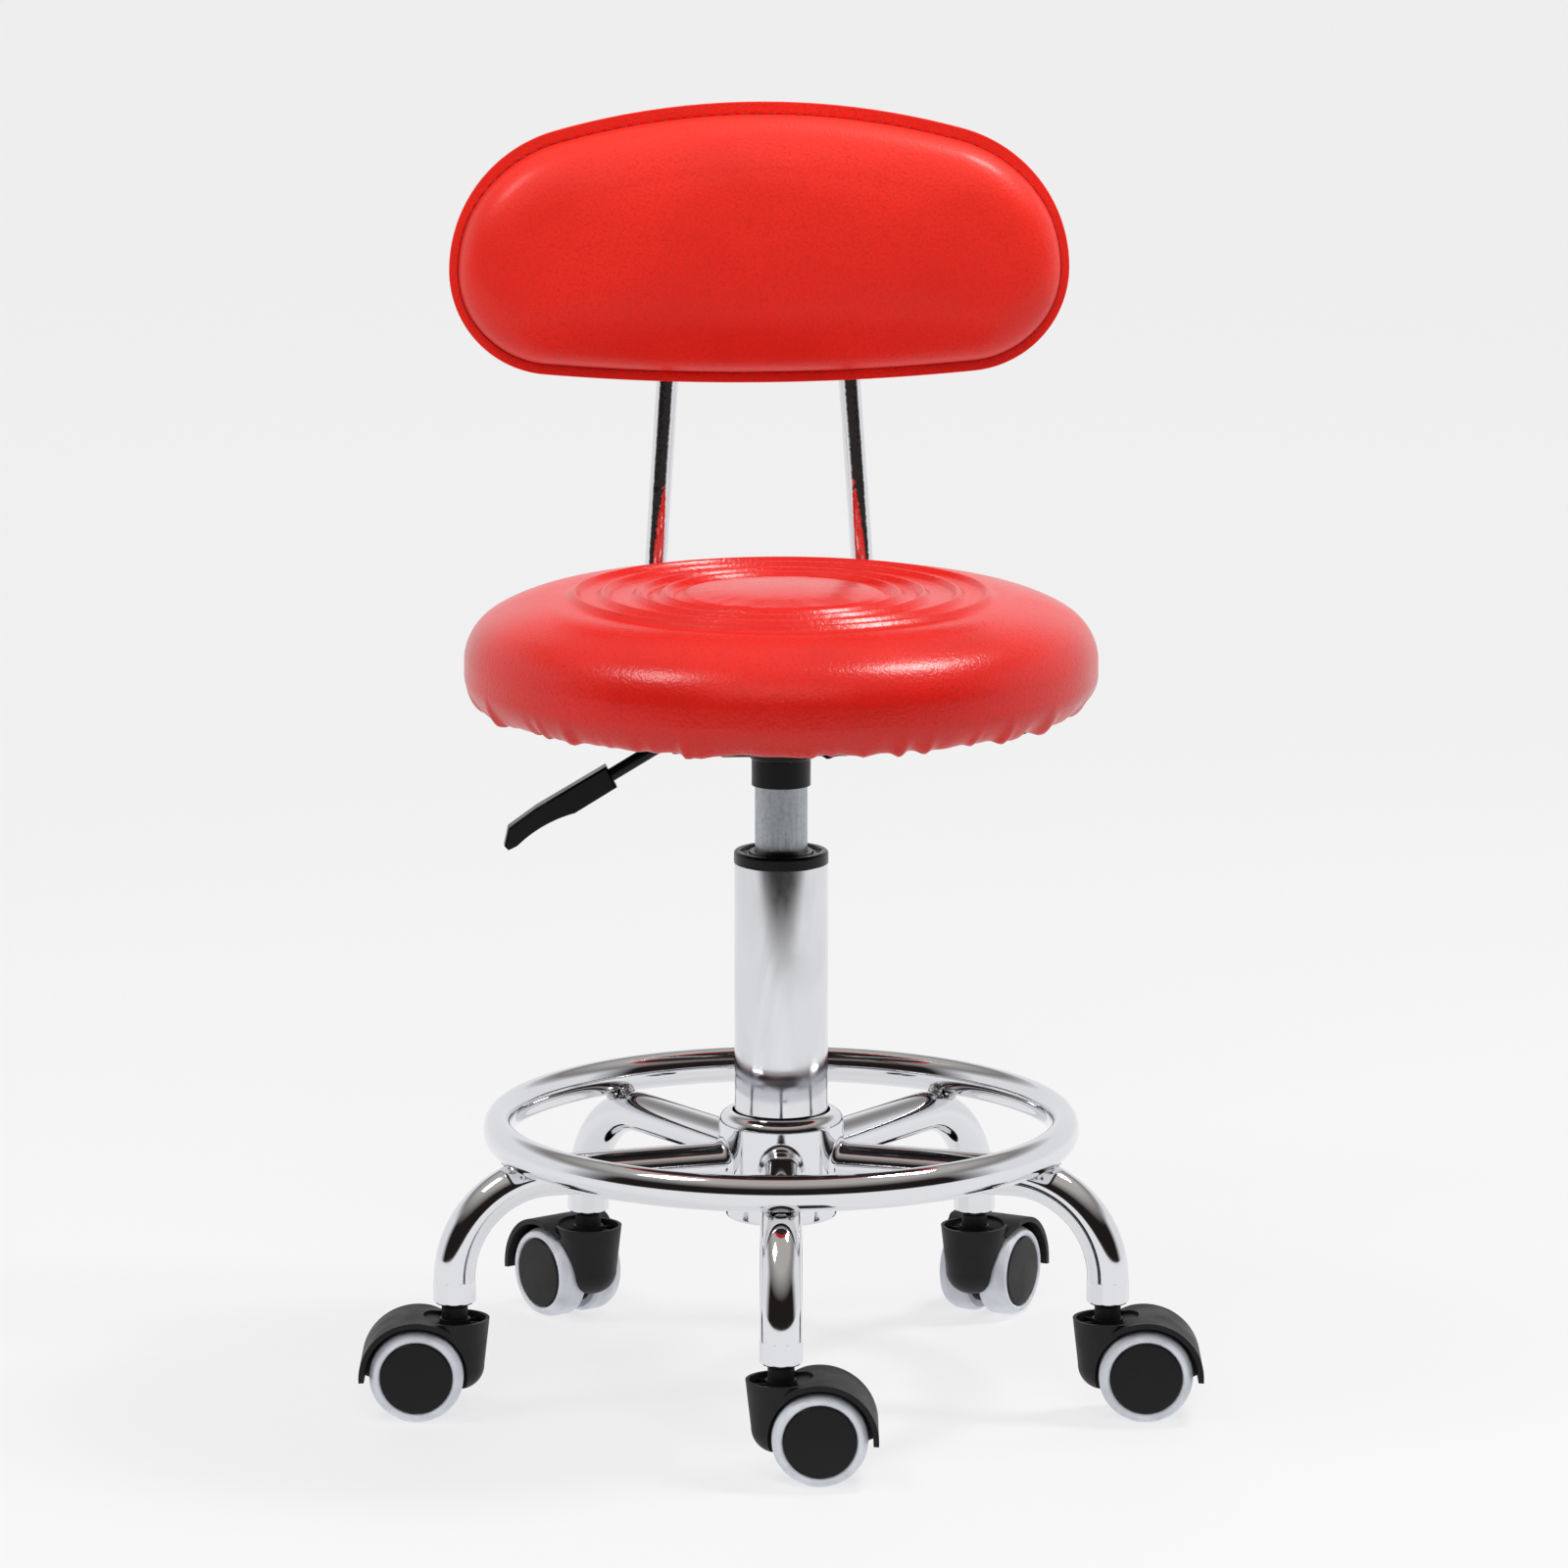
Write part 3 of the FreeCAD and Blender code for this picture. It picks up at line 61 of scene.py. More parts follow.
MM = 0.001          # one millimetre in metres
SEED = 11           # of the chance folds and frays
LEGS = 5
CLOTH_STEPS = 20    # frames of each cloth run
SEAT_COLUMNS = 520  # columns round the seat's skin
BACK_COLUMNS = 480  # columns round the backrest's skin
FOLDS = 58          # folds drawn round the seat's lower edge


# ---------------------------------------------------------------- reading the frame

def box(node):
    """Lowest and highest corner of a CAD node, as arrays in millimetres."""
    low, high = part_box(node)
    return np.array(low) / MM, np.array(high) / MM


def joint(name):
    """A joint of the frame, by name."""
    return next(j for j in frame["joints"] if j["name"] == name)


SEAT_LOW, SEAT_HIGH = box("seat_cover")
BACK_LOW, BACK_HIGH = box("back_lining")
RING_LOW, RING_HIGH = box("foot_ring")
TUBE_LOW, TUBE_HIGH = box("column_tube")


# ---------------------------------------------------------------- sizes and colours

def length(name, description, millimetres):
    """A property that holds a length in metres."""
    return bpy.props.FloatProperty(
        name=name, description=description, default=millimetres * MM, unit="LENGTH",
        precision=5, min=0.0)


def hex_linear(text):
    """Linear colour of an sRGB hex value."""
    parts = np.array([int(text[i:i + 2], 16) for i in (1, 3, 5)]) / 255.0
    return tuple(np.where(parts <= 0.04045, parts / 12.92, ((parts + 0.055) / 1.055) ** 2.4))


def colour(name, description, text):
    """A property that holds a colour, given as an sRGB hex value."""
    return bpy.props.FloatVectorProperty(
        name=name, description=description, default=hex_linear(text), subtype="COLOR",
        size=3, min=0.0, max=1.0)


class SeatSizes(bpy.types.PropertyGroup):
    """Round seat cushion."""

    radius: length("Radius", "Outside of the cover", SEAT_HIGH[0])
    top: length("Top", "Height of the flat of the seat", SEAT_HIGH[2])
    bottom: length("Bottom", "Height of the cover's lower edge", SEAT_LOW[2])
    flat: length("Flat", "Radius of the flat of the seat", 118.0)
    shoulder: length("Shoulder", "Radius of the upper shoulder", 72.0)
    ridge: length("Ridge", "Height of the embossed rings", 3.1)
    ridge_width: length("Ridge width", "Half width of an embossed ring", 2.6)
    pucker: length("Pucker", "Depth of the folds at the lower edge", 2.4)
    # Painted shade: the same vinyl as the backrest's, given a darker colour for the shade on the
    # seat's side.
    vinyl: colour("Vinyl", "Colour of the seat's vinyl", "#D62018")
    cloth: colour("Cloth", "Colour of the cloth under the seat", "#17171A")


class BackSizes(bpy.types.PropertyGroup):
    """Backrest cushion."""

    half_width: length("Half width", "Half width of the backrest", BACK_HIGH[0])
    half_height: length("Half height", "Half height of the backrest", 77.0)
    depth: length("Depth", "Front of the cushion before the rear face", 33.5)
    rise: length("Rise", "Width over which the cushion rises from its seam", 29.0)
    curve: length("Curve", "Radius of the backrest round the sitter", 1400.0)
    lean: bpy.props.FloatProperty(
        name="Lean", description="How far the backrest leans back", default=math.radians(3.0),
        subtype="ANGLE")
    stitch: length("Stitch", "Length of one stitch", 4.7)
    pitch: length("Pitch", "From one stitch to the next", 7.5)
    # Painted light: the same vinyl as the seat's, given a lighter colour for the light that falls
    # on the backrest.
    vinyl: colour("Vinyl", "Colour of the backrest's vinyl", "#EE2C1F")
    thread: colour("Thread", "Colour of the sewing thread", "#A30F12")


class FrameSizes(bpy.types.PropertyGroup):
    """Chromed base, column and posts."""

    leg_radius: length("Leg radius", "Outside of a leg tube", 11.0)
    leg_bend: length("Leg bend", "Radius of a leg's bend", 52.25)
    leg_height: length("Leg height", "Centre line of a leg at the hub", 127.25)
    leg_start: length("Leg start", "Inner end of a leg tube", 42.0)
    ring_half_width: length("Ring half width", "Foot ring's oval tube, level", 7.9)
    bead: length("Weld bead", "Half length of a weld bead", 4.2)
    chrome: colour("Chrome", "Colour of the chrome plate", "#E4E5E8")
    scale: colour("Heat scale", "Brown tint beside a weld", "#6E5034")
    zinc: colour("Zinc", "Colour of the gas cylinder", "#ABB0B4")
    black: colour("Black", "Colour of the black plastic and enamel", "#070708")


class CasterSizes(bpy.types.PropertyGroup):
    """Twin wheels of the casters."""

    wheel: length("Wheel", "Radius of a wheel", 25.0)
    core: length("Core", "Radius of a wheel's hard core", 19.1)
    inner: length("Inner face", "Inner face of a wheel, from the caster's middle", 3.6)
    outer: length("Outer face", "Outer face of a wheel, from the caster's middle", 21.0)
    nylon: colour("Nylon", "Colour of the housings and cores", "#121214")
    tyre: colour("Tyre", "Colour of the soft tyres", "#D6D9E1")


class StageSizes(bpy.types.PropertyGroup):
    """Floor, light and camera."""

    distance: length("Distance", "Camera, level, from the column", 4314.8)
    height: length("Height", "Camera above the floor", 1163.0)
    pitch: bpy.props.FloatProperty(
        name="Pitch", description="How far the camera looks down",
        default=math.radians(10.9125), subtype="ANGLE")
    azimuth: bpy.props.FloatProperty(
        name="Azimuth", description="Camera round the stool from its front",
        default=math.radians(-3.7), subtype="ANGLE")
    side: length("Side", "Camera to the right of the column", 1.5)
    lens: bpy.props.FloatProperty(
        name="Lens", description="Focal length in millimetres", default=189.85)
    floor: colour("Floor", "Colour of the paper floor", "#F6F6F7")


# ---------------------------------------------------------------- surfaces

def numbered(points):
    """Vertex numbers of a grid of points (rows, columns, 3). A row whose points all meet
    shares one."""
    index = np.arange(points[..., 0].size).reshape(points.shape[:2])
    met = np.ptp(points, axis=1).max(axis=1) < 1e-6
    index[met] = index[met][:, :1]
    return index


def quads(index, along=False):
    """Four-sided faces between the neighbours of grids of vertex numbers (..., rows, columns)
    whose last column joins the first. `along` joins the last row to the first too."""
    rows, columns = index.shape[-2:]
    row = np.arange(rows if along else rows - 1)[:, None]
    column = np.arange(columns)
    below, beside = (row + 1) % rows, (column + 1) % columns
    return np.stack([index[..., row, column], index[..., row, beside],
                     index[..., below, beside], index[..., below, column]], -1).reshape(-1, 4)


def surface(name, points, along=False, sharp=35.0):
    """A grid of points (rows, columns, 3), in millimetres, made a mesh that closes round its
    columns."""
    return mesh_piece(name, points.reshape(-1, 3), quads(numbered(points), along), sharp)


def mesh_piece(name, points, faces, sharp=35.0):
    """Quads over points in millimetres, a doubled corner making a triangle, as an object
    whose place is in its mesh. Unused points are dropped and faces point outwards."""
    used, faces = np.unique(faces, return_inverse=True)
    faces = faces.reshape(-1, 4)
    top_shut, low_shut = faces[:, 0] == faces[:, 1], faces[:, 2] == faces[:, 3]
    whole = faces[~top_shut & ~low_shut].tolist()
    corners = faces[top_shut & ~low_shut][:, 1:].tolist()
    corners += faces[low_shut & ~top_shut][:, :3].tolist()
    mesh = bpy.data.meshes.new(name)
    mesh.from_pydata((points[used] * MM).tolist(), [], whole + corners)
    piece = bpy.data.objects.new(name, mesh)
    bpy.context.scene.collection.objects.link(piece)
    face_outwards(mesh)
    mesh.shade_smooth()
    mesh.set_sharp_from_angle(angle=math.radians(sharp))
    return piece


def face_outwards(mesh):
    """Turn every face of a closed mesh to the outside."""
    work = bmesh.new()
    work.from_mesh(mesh)
    bmesh.ops.recalc_face_normals(work, faces=work.faces)
    work.to_mesh(mesh)
    work.free()


def scattered(name, shape, places, sharp=60.0):
    """One mesh of many copies of a small closed grid (rows, columns, 3): copy k is the grid
    carried by places[k], a 3 by 4 matrix whose last column is its origin."""
    points = np.einsum("kij,rcj->krci", places[:, :, :3], shape) + places[:, None, None, :, 3]
    copies = np.arange(len(places))[:, None, None] * shape[..., 0].size
    return mesh_piece(name, points.reshape(-1, 3), quads(numbered(shape) + copies), sharp)


def rounded(corners, closed=False, steps=6):
    """Polyline through (a, b[, radius]) corners, each one with a radius cut by the arc of
    that radius that touches both of its sides."""
    count = len(corners)
    line = []
    for i, corner in enumerate(corners):
        here = np.array(corner[:2], float)
        if len(corner) == 2:
            line.append(here)
            continue
        before = np.array(corners[(i - 1) % count][:2], float) - here
        after = np.array(corners[(i + 1) % count][:2], float) - here
        before /= np.linalg.norm(before)
        after /= np.linalg.norm(after)
        half = math.acos(np.clip(before @ after, -1, 1)) / 2
        reach = corner[2] / math.tan(half)
        middle = here + (before + after) / np.linalg.norm(before + after) * (
            corner[2] / math.sin(half))
        start, end = here + before * reach - middle, here + after * reach - middle
        turn = math.pi - 2 * half
        share = np.linspace(0, 1, steps + 1)[:, None]
        arc = (np.sin((1 - share) * turn) * start + np.sin(share * turn) * end) / math.sin(turn)
        line.extend(middle + arc)
    if closed:
        line.append(line[0])
    return np.array(line)


def circle(count):
    """Angles of points spaced evenly round a circle, in radians."""
    return np.linspace(0, 2 * math.pi, count, endpoint=False)


def arc(middle, radius, first, last, steps):
    """Points of an arc of a circle, its angles in degrees."""
    angle = np.radians(np.linspace(first, last, steps))
    return np.stack([middle[0] + radius * np.cos(angle), middle[1] + radius * np.sin(angle)], 1)


def lathe(name, profile, columns=96, origin=(0, 0, 0), axis=(0, 0, 1), sharp=35.0, along=False):
    """A profile of (radius, height) turned about an axis through the origin: at angle u the
    point is origin + radius (cos u p + sin u q) + height axis, with p and q square to it."""
    axis = np.array(axis, float) / np.linalg.norm(axis)
    across = np.cross(axis, (0, 0, 1) if abs(axis[2]) < 0.9 else (1, 0, 0))
    across /= np.linalg.norm(across)
    other = np.cross(axis, across)
    turn = circle(columns)
    ring = np.cos(turn)[:, None] * across + np.sin(turn)[:, None] * other
    profile = np.asarray(profile, float)
    points = (np.array(origin, float) + profile[:, :1, None] * ring[None]
              + profile[:, 1:2, None] * axis)
    return surface(name, points, along=along, sharp=sharp)


def pipe(name, path, radius, side, columns=48):
    """A round tube along a flat path: each ring is centre + radius (cos v side + sin v up),
    with up square to the path and to `side`, and a point closes each end."""
    run = np.gradient(path, axis=0)
    run /= np.linalg.norm(run, axis=1)[:, None]
    side = np.array(side, float)
    up = np.cross(run, side)
    turn = circle(columns)
    radius = np.broadcast_to(np.asarray(radius, float), len(path))
    rings = path[:, None] + radius[:, None, None] * (
        np.cos(turn)[None, :, None] * side + np.sin(turn)[None, :, None] * up[:, None])
    ends = [np.repeat(path[i][None], columns, 0)[None] for i in (0, -1)]
    return surface(name, np.concatenate([ends[0], rings, ends[1]]))


def smooth(low, high, value):
    """0 below low, 1 above high, and a smooth step between."""
    share = np.clip((value - low) / (high - low), 0, 1)
    return share * share * (3 - 2 * share)


def paint(piece, name, values):
    """Store one number per vertex, worked out from its place in millimetres."""
    places = np.zeros(len(piece.data.vertices) * 3, np.float32)
    piece.data.vertices.foreach_get("co", places)
    attribute = piece.data.attributes.new(name, "FLOAT", "POINT")
    numbers = values(places.reshape(-1, 3) / MM)
    attribute.data.foreach_set("value", numbers.astype(np.float32))


def inflated(points, pinned, pressure, cap):
    """How Blender's cloth moves each point of the grid when it is blown up: pinned points
    stay, and a movement eases off smoothly up to the cap."""
    blank = surface("cloth_blank", points)
    grid = points.shape[:2]
    used, order = np.unique(numbered(points), return_inverse=True)
    held = blank.vertex_groups.new(name="held")
    held.add(np.flatnonzero(np.broadcast_to(pinned, grid).reshape(-1)[used]).tolist(),
             1.0, "REPLACE")
    cloth = blank.modifiers.new("Cloth", "CLOTH")
    cloth.settings.quality = 6
    cloth.settings.mass = 0.2
    cloth.settings.tension_stiffness = cloth.settings.compression_stiffness = 30
    cloth.settings.bending_stiffness = 2.0
    cloth.settings.use_pressure = True
    cloth.settings.uniform_pressure_force = pressure
    cloth.settings.effector_weights.gravity = 0
    cloth.settings.vertex_group_mass = held.name
    cloth.collision_settings.use_collision = False
    scene = bpy.context.scene
    for step in range(1, CLOTH_STEPS + 1):
        scene.frame_set(step)
    result = blank.evaluated_get(bpy.context.evaluated_depsgraph_get())
    moved = np.zeros(len(result.data.vertices) * 3, np.float32)
    result.data.vertices.foreach_get("co", moved)
    moved = moved.reshape(-1, 3)[order.reshape(grid)] / MM
    scene.frame_set(1)
    bpy.data.objects.remove(blank)
    push = moved - points
    far = np.linalg.norm(push, axis=2, keepdims=True)
    return push * (cap * np.tanh(far / cap) / np.maximum(far, 1e-9))


def eased(grid, row_passes, column_passes):
    """A grid of vectors averaged with its neighbours, along its columns and round its rows."""
    for _ in range(row_passes):
        inner = (grid[:-2] + 2 * grid[1:-1] + grid[2:]) / 4
        grid = np.concatenate([grid[:1], inner, grid[-1:]])
    for _ in range(column_passes):
        grid = (np.roll(grid, 1, 1) + 2 * grid + np.roll(grid, -1, 1)) / 4
    return grid


def finer(grid, rows, columns):
    """A grid of vectors resampled to more rows and columns, the columns running round."""
    old_rows, old_columns = grid.shape[:2]
    row = np.linspace(0, old_rows - 1, rows)
    low = np.minimum(row.astype(int), old_rows - 2)
    part = (row - low)[:, None, None]
    grid = grid[low] * (1 - part) + grid[low + 1] * part
    column = np.arange(columns) * old_columns / columns
    low = column.astype(int)
    part = (column - low)[None, :, None]
    return grid[:, low] * (1 - part) + grid[:, (low + 1) % old_columns] * part


# ---------------------------------------------------------------- materials

def add(tree, kind, sockets=None, **settings):
    """Add a shader node with its settings, each socket given a value or a link."""
    made = tree.nodes.new("ShaderNode" + kind)
    for name, value in settings.items():
        setattr(made, name, value)
    for name, value in (sockets or {}).items():
        if isinstance(value, bpy.types.NodeSocket):
            tree.links.new(value, made.inputs[name])
        else:
            made.inputs[name].default_value = value
    return made


def finish(name, **sockets):
    """A new material: its node tree, its Principled shader and its Object coordinates."""
    material = bpy.data.materials.new(name)
    material.use_nodes = True
    tree = material.node_tree
    tree.nodes.clear()
    shader = add(tree, "BsdfPrincipled", {
        key.replace("_", " "): value for key, value in sockets.items()})
    add(tree, "OutputMaterial", {"Surface": shader.outputs[0]})
    place = add(tree, "TexCoord").outputs["Object"]
    return material, tree, shader, place


def rgba(value, shade=1.0):
    """A colour with full alpha, made darker or lighter."""
    return tuple(min(1.0, part * shade) for part in value) + (1.0,)


def spread(tree, factor, low, high, at=(0.35, 0.65)):
    """Map a factor between two stops onto low to high."""
    return add(tree, "MapRange", {
        "Value": factor, "From Min": at[0], "From Max": at[1], "To Min": low,
        "To Max": high}).outputs["Result"]


def noise(tree, place, scale, detail, **more):
    """Level of a noise texture."""
    return add(tree, "TexNoise", {"Vector": place, "Scale": scale, "Detail": detail,
                                  **more}).outputs["Fac"]


def product(tree, first, second):
    """Two values multiplied."""
    return add(tree, "Math", {0: first, 1: second}, operation="MULTIPLY").outputs[0]


def raised(tree, shader, height, strength, depth):
    """Give a surface the relief of a height."""
    bump = add(tree, "Bump", {"Height": height, "Strength": strength, "Distance": depth})
    tree.links.new(bump.outputs[0], shader.inputs["Normal"])


def mixed(tree, factor, first, second):
    """Two colours mixed by a factor."""
    return add(tree, "Mix", {"Factor": factor, 6: first, 7: second},
               data_type="RGBA").outputs[2]


def soft_vinyl(name, tint, grain_mm, gloss):
    """Polyurethane-coated vinyl, embossed with a fine pebble grain and stretched over foam:
    an even strong colour, a satin skin that breaks each highlight into grain, and fine
    creases where it was pulled."""
    material, tree, shader, place = finish(name, Roughness=gloss, Specular_IOR_Level=0.3,
                                           Coat_Weight=0.12, Coat_Roughness=0.18)
    cloud = noise(tree, place, 14.0, 3.0)
    base = mixed(tree, spread(tree, cloud, 0.0, 1.0), rgba(tint, 0.93), rgba(tint, 1.05))
    pebble = add(tree, "TexVoronoi", {"Vector": place, "Scale": 1000.0 / grain_mm,
                                      "Randomness": 0.9}, feature="SMOOTH_F1")
    # Painted shade: the borders between the grain's pebbles, its valleys, are painted darker.
    valley = spread(tree, pebble.outputs["Distance"], 0.0, 1.0, (0.35, 0.75))
    tree.links.new(mixed(tree, valley, base, rgba(tint, 0.86)), shader.inputs["Base Color"])
    warp = add(tree, "TexNoise", {"Vector": place, "Scale": 60.0, "Detail": 2.0})
    shifted = add(tree, "VectorMath", {0: place, 1: add(
        tree, "VectorMath", {0: warp.outputs["Color"], "Scale": 0.0015},
        operation="SCALE").outputs[0]}, operation="ADD").outputs[0]
    crease = add(tree, "TexVoronoi", {"Vector": shifted, "Scale": 260.0},
                 feature="DISTANCE_TO_EDGE")
    where = spread(tree, noise(tree, place, 22.0, 2.0), 0.0, 1.0, (0.3, 0.8))
    cut = spread(tree, crease.outputs["Distance"], 1.0, 0.0, (0.0, 0.2))
    fine = add(tree, "Bump", {"Height": pebble.outputs["Distance"], "Strength": 0.32,
                              "Distance": 0.0004})
    coarse = add(tree, "Bump", {"Height": product(tree, cut, where), "Strength": 0.3,
                                "Distance": 0.0003, "Normal": fine.outputs[0]}, invert=True)
    tree.links.new(coarse.outputs[0], shader.inputs["Normal"])
    tree.links.new(spread(tree, cloud, gloss - 0.04, gloss + 0.05), shader.inputs["Roughness"])
    return material


def bright_chrome(name, tint, scale, haze=0.0):
    """Chrome plate on polished steel: a mirror with faint wiping marks, and a brown scale
    where the heat of welding reached it. `haze` clouds it with greasy smears."""
    material, tree, shader, place = finish(name, Metallic=1.0, Roughness=0.05)
    tall = add(tree, "Mapping", {"Vector": place, "Scale": (1.0, 1.0, 0.35)}).outputs[0]
    wipe = noise(tree, tall, 90.0, 5.0, Roughness=0.6)
    smear = noise(tree, tall, 42.0, 4.0, Distortion=0.6)
    dull = spread(tree, wipe, 0.03, 0.09)
    base = rgba(tint)
    if haze:
        cloudy = spread(tree, smear, 0.0, 1.0, (0.38, 0.62))
        dull = spread(tree, cloudy, 0.05, haze, (0.0, 1.0))
        base = mixed(tree, cloudy, base, rgba(tint, 0.92))
    heat = add(tree, "Attribute", attribute_name="heat").outputs["Fac"]
    ragged = product(tree, heat, spread(tree, smear, 0.55, 1.25))
    tree.links.new(mixed(tree, ragged, base, rgba(scale)), shader.inputs["Base Color"])
    tree.links.new(dull, shader.inputs["Roughness"])
    return material


def bare_steel(name, tint, rough):
    """Zinc-plated drawn steel: dull grey metal, drawn along its length, with a fine speckle
    of oil and dust."""
    material, tree, shader, place = finish(name, Metallic=1.0, Roughness=rough)
    drawn = add(tree, "Mapping", {"Vector": place, "Scale": (1.0, 1.0, 0.08)}).outputs[0]
    line = noise(tree, drawn, 900.0, 3.0)
    speck = noise(tree, place, 480.0, 4.0, Roughness=0.7)
    dark = spread(tree, speck, 0.0, 1.0, (0.46, 0.74))
    tree.links.new(mixed(tree, dark, rgba(tint), rgba(tint, 0.72)), shader.inputs["Base Color"])
    tree.links.new(spread(tree, line, rough - 0.06, rough + 0.08), shader.inputs["Roughness"])
    raised(tree, shader, line, 0.15, 0.0001)
    return material


def moulded(name, tint, rough, texture_mm, depth, **more):
    """Injection-moulded plastic or enamel: an even colour with a spark-eroded texture, a
    little dust that lightens it, and flow marks that change its gloss."""
    material, tree, shader, place = finish(name, Roughness=rough, **more)
    grit = noise(tree, place, 1000.0 / texture_mm, 2.0)
    flow = noise(tree, place, 45.0, 3.0, Distortion=0.8)
    light = spread(tree, flow, 0.0, 1.0, (0.35, 0.75))
    tree.links.new(mixed(tree, light, rgba(tint, 0.9), rgba(tint, 1.25)),
                   shader.inputs["Base Color"])
    tree.links.new(spread(tree, flow, rough - 0.05, rough + 0.08), shader.inputs["Roughness"])
    raised(tree, shader, grit, 0.35, depth * MM)
    return material


def woven_cloth(name, tint, thread_mm):
    """Plain-woven polyester: two crossed sets of threads that show as a fine check."""
    material, tree, shader, place = finish(name, Roughness=0.9, Sheen_Weight=0.2)
    axes = add(tree, "SeparateXYZ", {"Vector": place})
    waves = [add(tree, "Math", {0: product(
        tree, axes.outputs[axis], math.pi / (thread_mm * MM))}, operation="SINE").outputs[0]
        for axis in "XY"]
    weave = product(tree, *waves)
    tree.links.new(mixed(tree, spread(tree, weave, 0.0, 1.0, (-1.0, 1.0)),
                         rgba(tint, 0.7), rgba(tint, 1.4)), shader.inputs["Base Color"])
    raised(tree, shader, weave, 0.4, 0.0002)
    return material


def ply_wood(name, tint):
    """Poplar plywood: pale brown, with long grain across the board."""
    material, tree, shader, place = finish(name, Roughness=0.62)
    along = add(tree, "Mapping", {"Vector": place, "Scale": (1.0, 9.0, 30.0)}).outputs[0]
    grain = noise(tree, along, 30.0, 6.0)
    tree.links.new(mixed(tree, spread(tree, grain, 0.0, 1.0),
                         rgba(tint, 0.75), rgba(tint, 1.1)), shader.inputs["Base Color"])
    return material


def give(material, *pieces):
    """Put a material on new pieces, or on CAD nodes by name."""
    for piece in pieces:
        piece = frame["nodes"][piece] if isinstance(piece, str) else piece
        piece.data.materials.clear()
        piece.data.materials.append(material)


def rides(piece, body, slot, *nodes):
    """A finished piece moves with its body and stands for its nodes. Its slot is not used."""
    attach(piece, body)
    if nodes:
        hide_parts(*nodes)


# ---------------------------------------------------------------- seat

RIDGES = (62.0, 75.5, 94.0, 109.5)      # mm: radii of the embossed rings
CENTRE_DISC = 55.0                      # mm: radius of the raised middle
HEM_SHEET = 1.2                         # mm: thickness of the turned-in edge


def seat_profile(sizes, fine):
    """The cover's section from its turned-in edge, under and round the side, up to the
    middle of the top, as (radius, height). Three tangent arcs meet where the upper two turn
    60 degrees from level."""
    side, top, foot = sizes.radius / MM, sizes.top / MM, sizes.bottom / MM
    flat, shoulder, lower = sizes.flat / MM, sizes.shoulder / MM, 13.0
    meet = math.radians(60.0)
    knee = flat + shoulder * math.cos(meet)
    knee_height = top - shoulder * (1 - math.sin(meet))
    upper = (side - knee) / (1 - math.cos(meet))
    side_top = knee_height - upper * math.sin(meet)
    turned_in = side - 28.0
    rows = np.concatenate([np.linspace(flat - 1.0, CENTRE_DISC - 6.0, 50 * fine),
                           np.linspace(CENTRE_DISC - 8.0, 0.0, 10 * fine)])
    return np.concatenate([
        [(turned_in, foot + HEM_SHEET), (turned_in, foot), (side - lower, foot)],
        arc((side - lower, foot + lower), lower, -80, 0, 8 * fine),
        arc((side - upper, side_top), upper, 4, 60, 7 * fine),
        arc((flat, top - shoulder), shoulder, 62, 90, 8 * fine),
        np.stack([rows, np.full_like(rows, top)], 1)])


def seat_relief(sizes, radius):
    """Height of the embossed top above its flat: a low dome in the middle, and a rounded
    ridge at each ring."""
    height, width = sizes.ridge / MM, sizes.ridge_width / MM
    rings = sum(np.exp(-((radius - ring) / width) ** 2) for ring in RIDGES)
    disc = smooth(CENTRE_DISC + 2.5, CENTRE_DISC - 5.0, radius)
    return height * (rings + disc * (0.75 + 0.45 * np.cos(radius / CENTRE_DISC * math.pi / 2)))


def puckers(turn, chance):
    """Gathers round the lower edge: folds of chance place, width and depth, each a narrow
    bell in the angle."""
    places = chance.uniform(0, 2 * math.pi, FOLDS)
    widths = np.radians(chance.uniform(0.7, 1.8, FOLDS))
    depths = chance.uniform(0.2, 1.0, FOLDS) ** 1.6
    away = (turn[:, None] - places + math.pi) % (2 * math.pi) - math.pi
    return (depths * np.exp(-(away / widths) ** 2)).sum(1)


def seat_grid(sizes, fine, columns):
    """The skin as a grid: the section turned about the column, with the relief on top."""
    profile = seat_profile(sizes, fine)
    turn = circle(columns)
    radius, height = profile[:, :1], profile[:, 1:]
    lift = np.where(height > sizes.top / MM - 0.01, seat_relief(sizes, radius), 0.0)
    return np.stack([radius * np.cos(turn), radius * np.sin(turn),
                     np.broadcast_to(height + lift, (len(profile), columns))], 2), turn


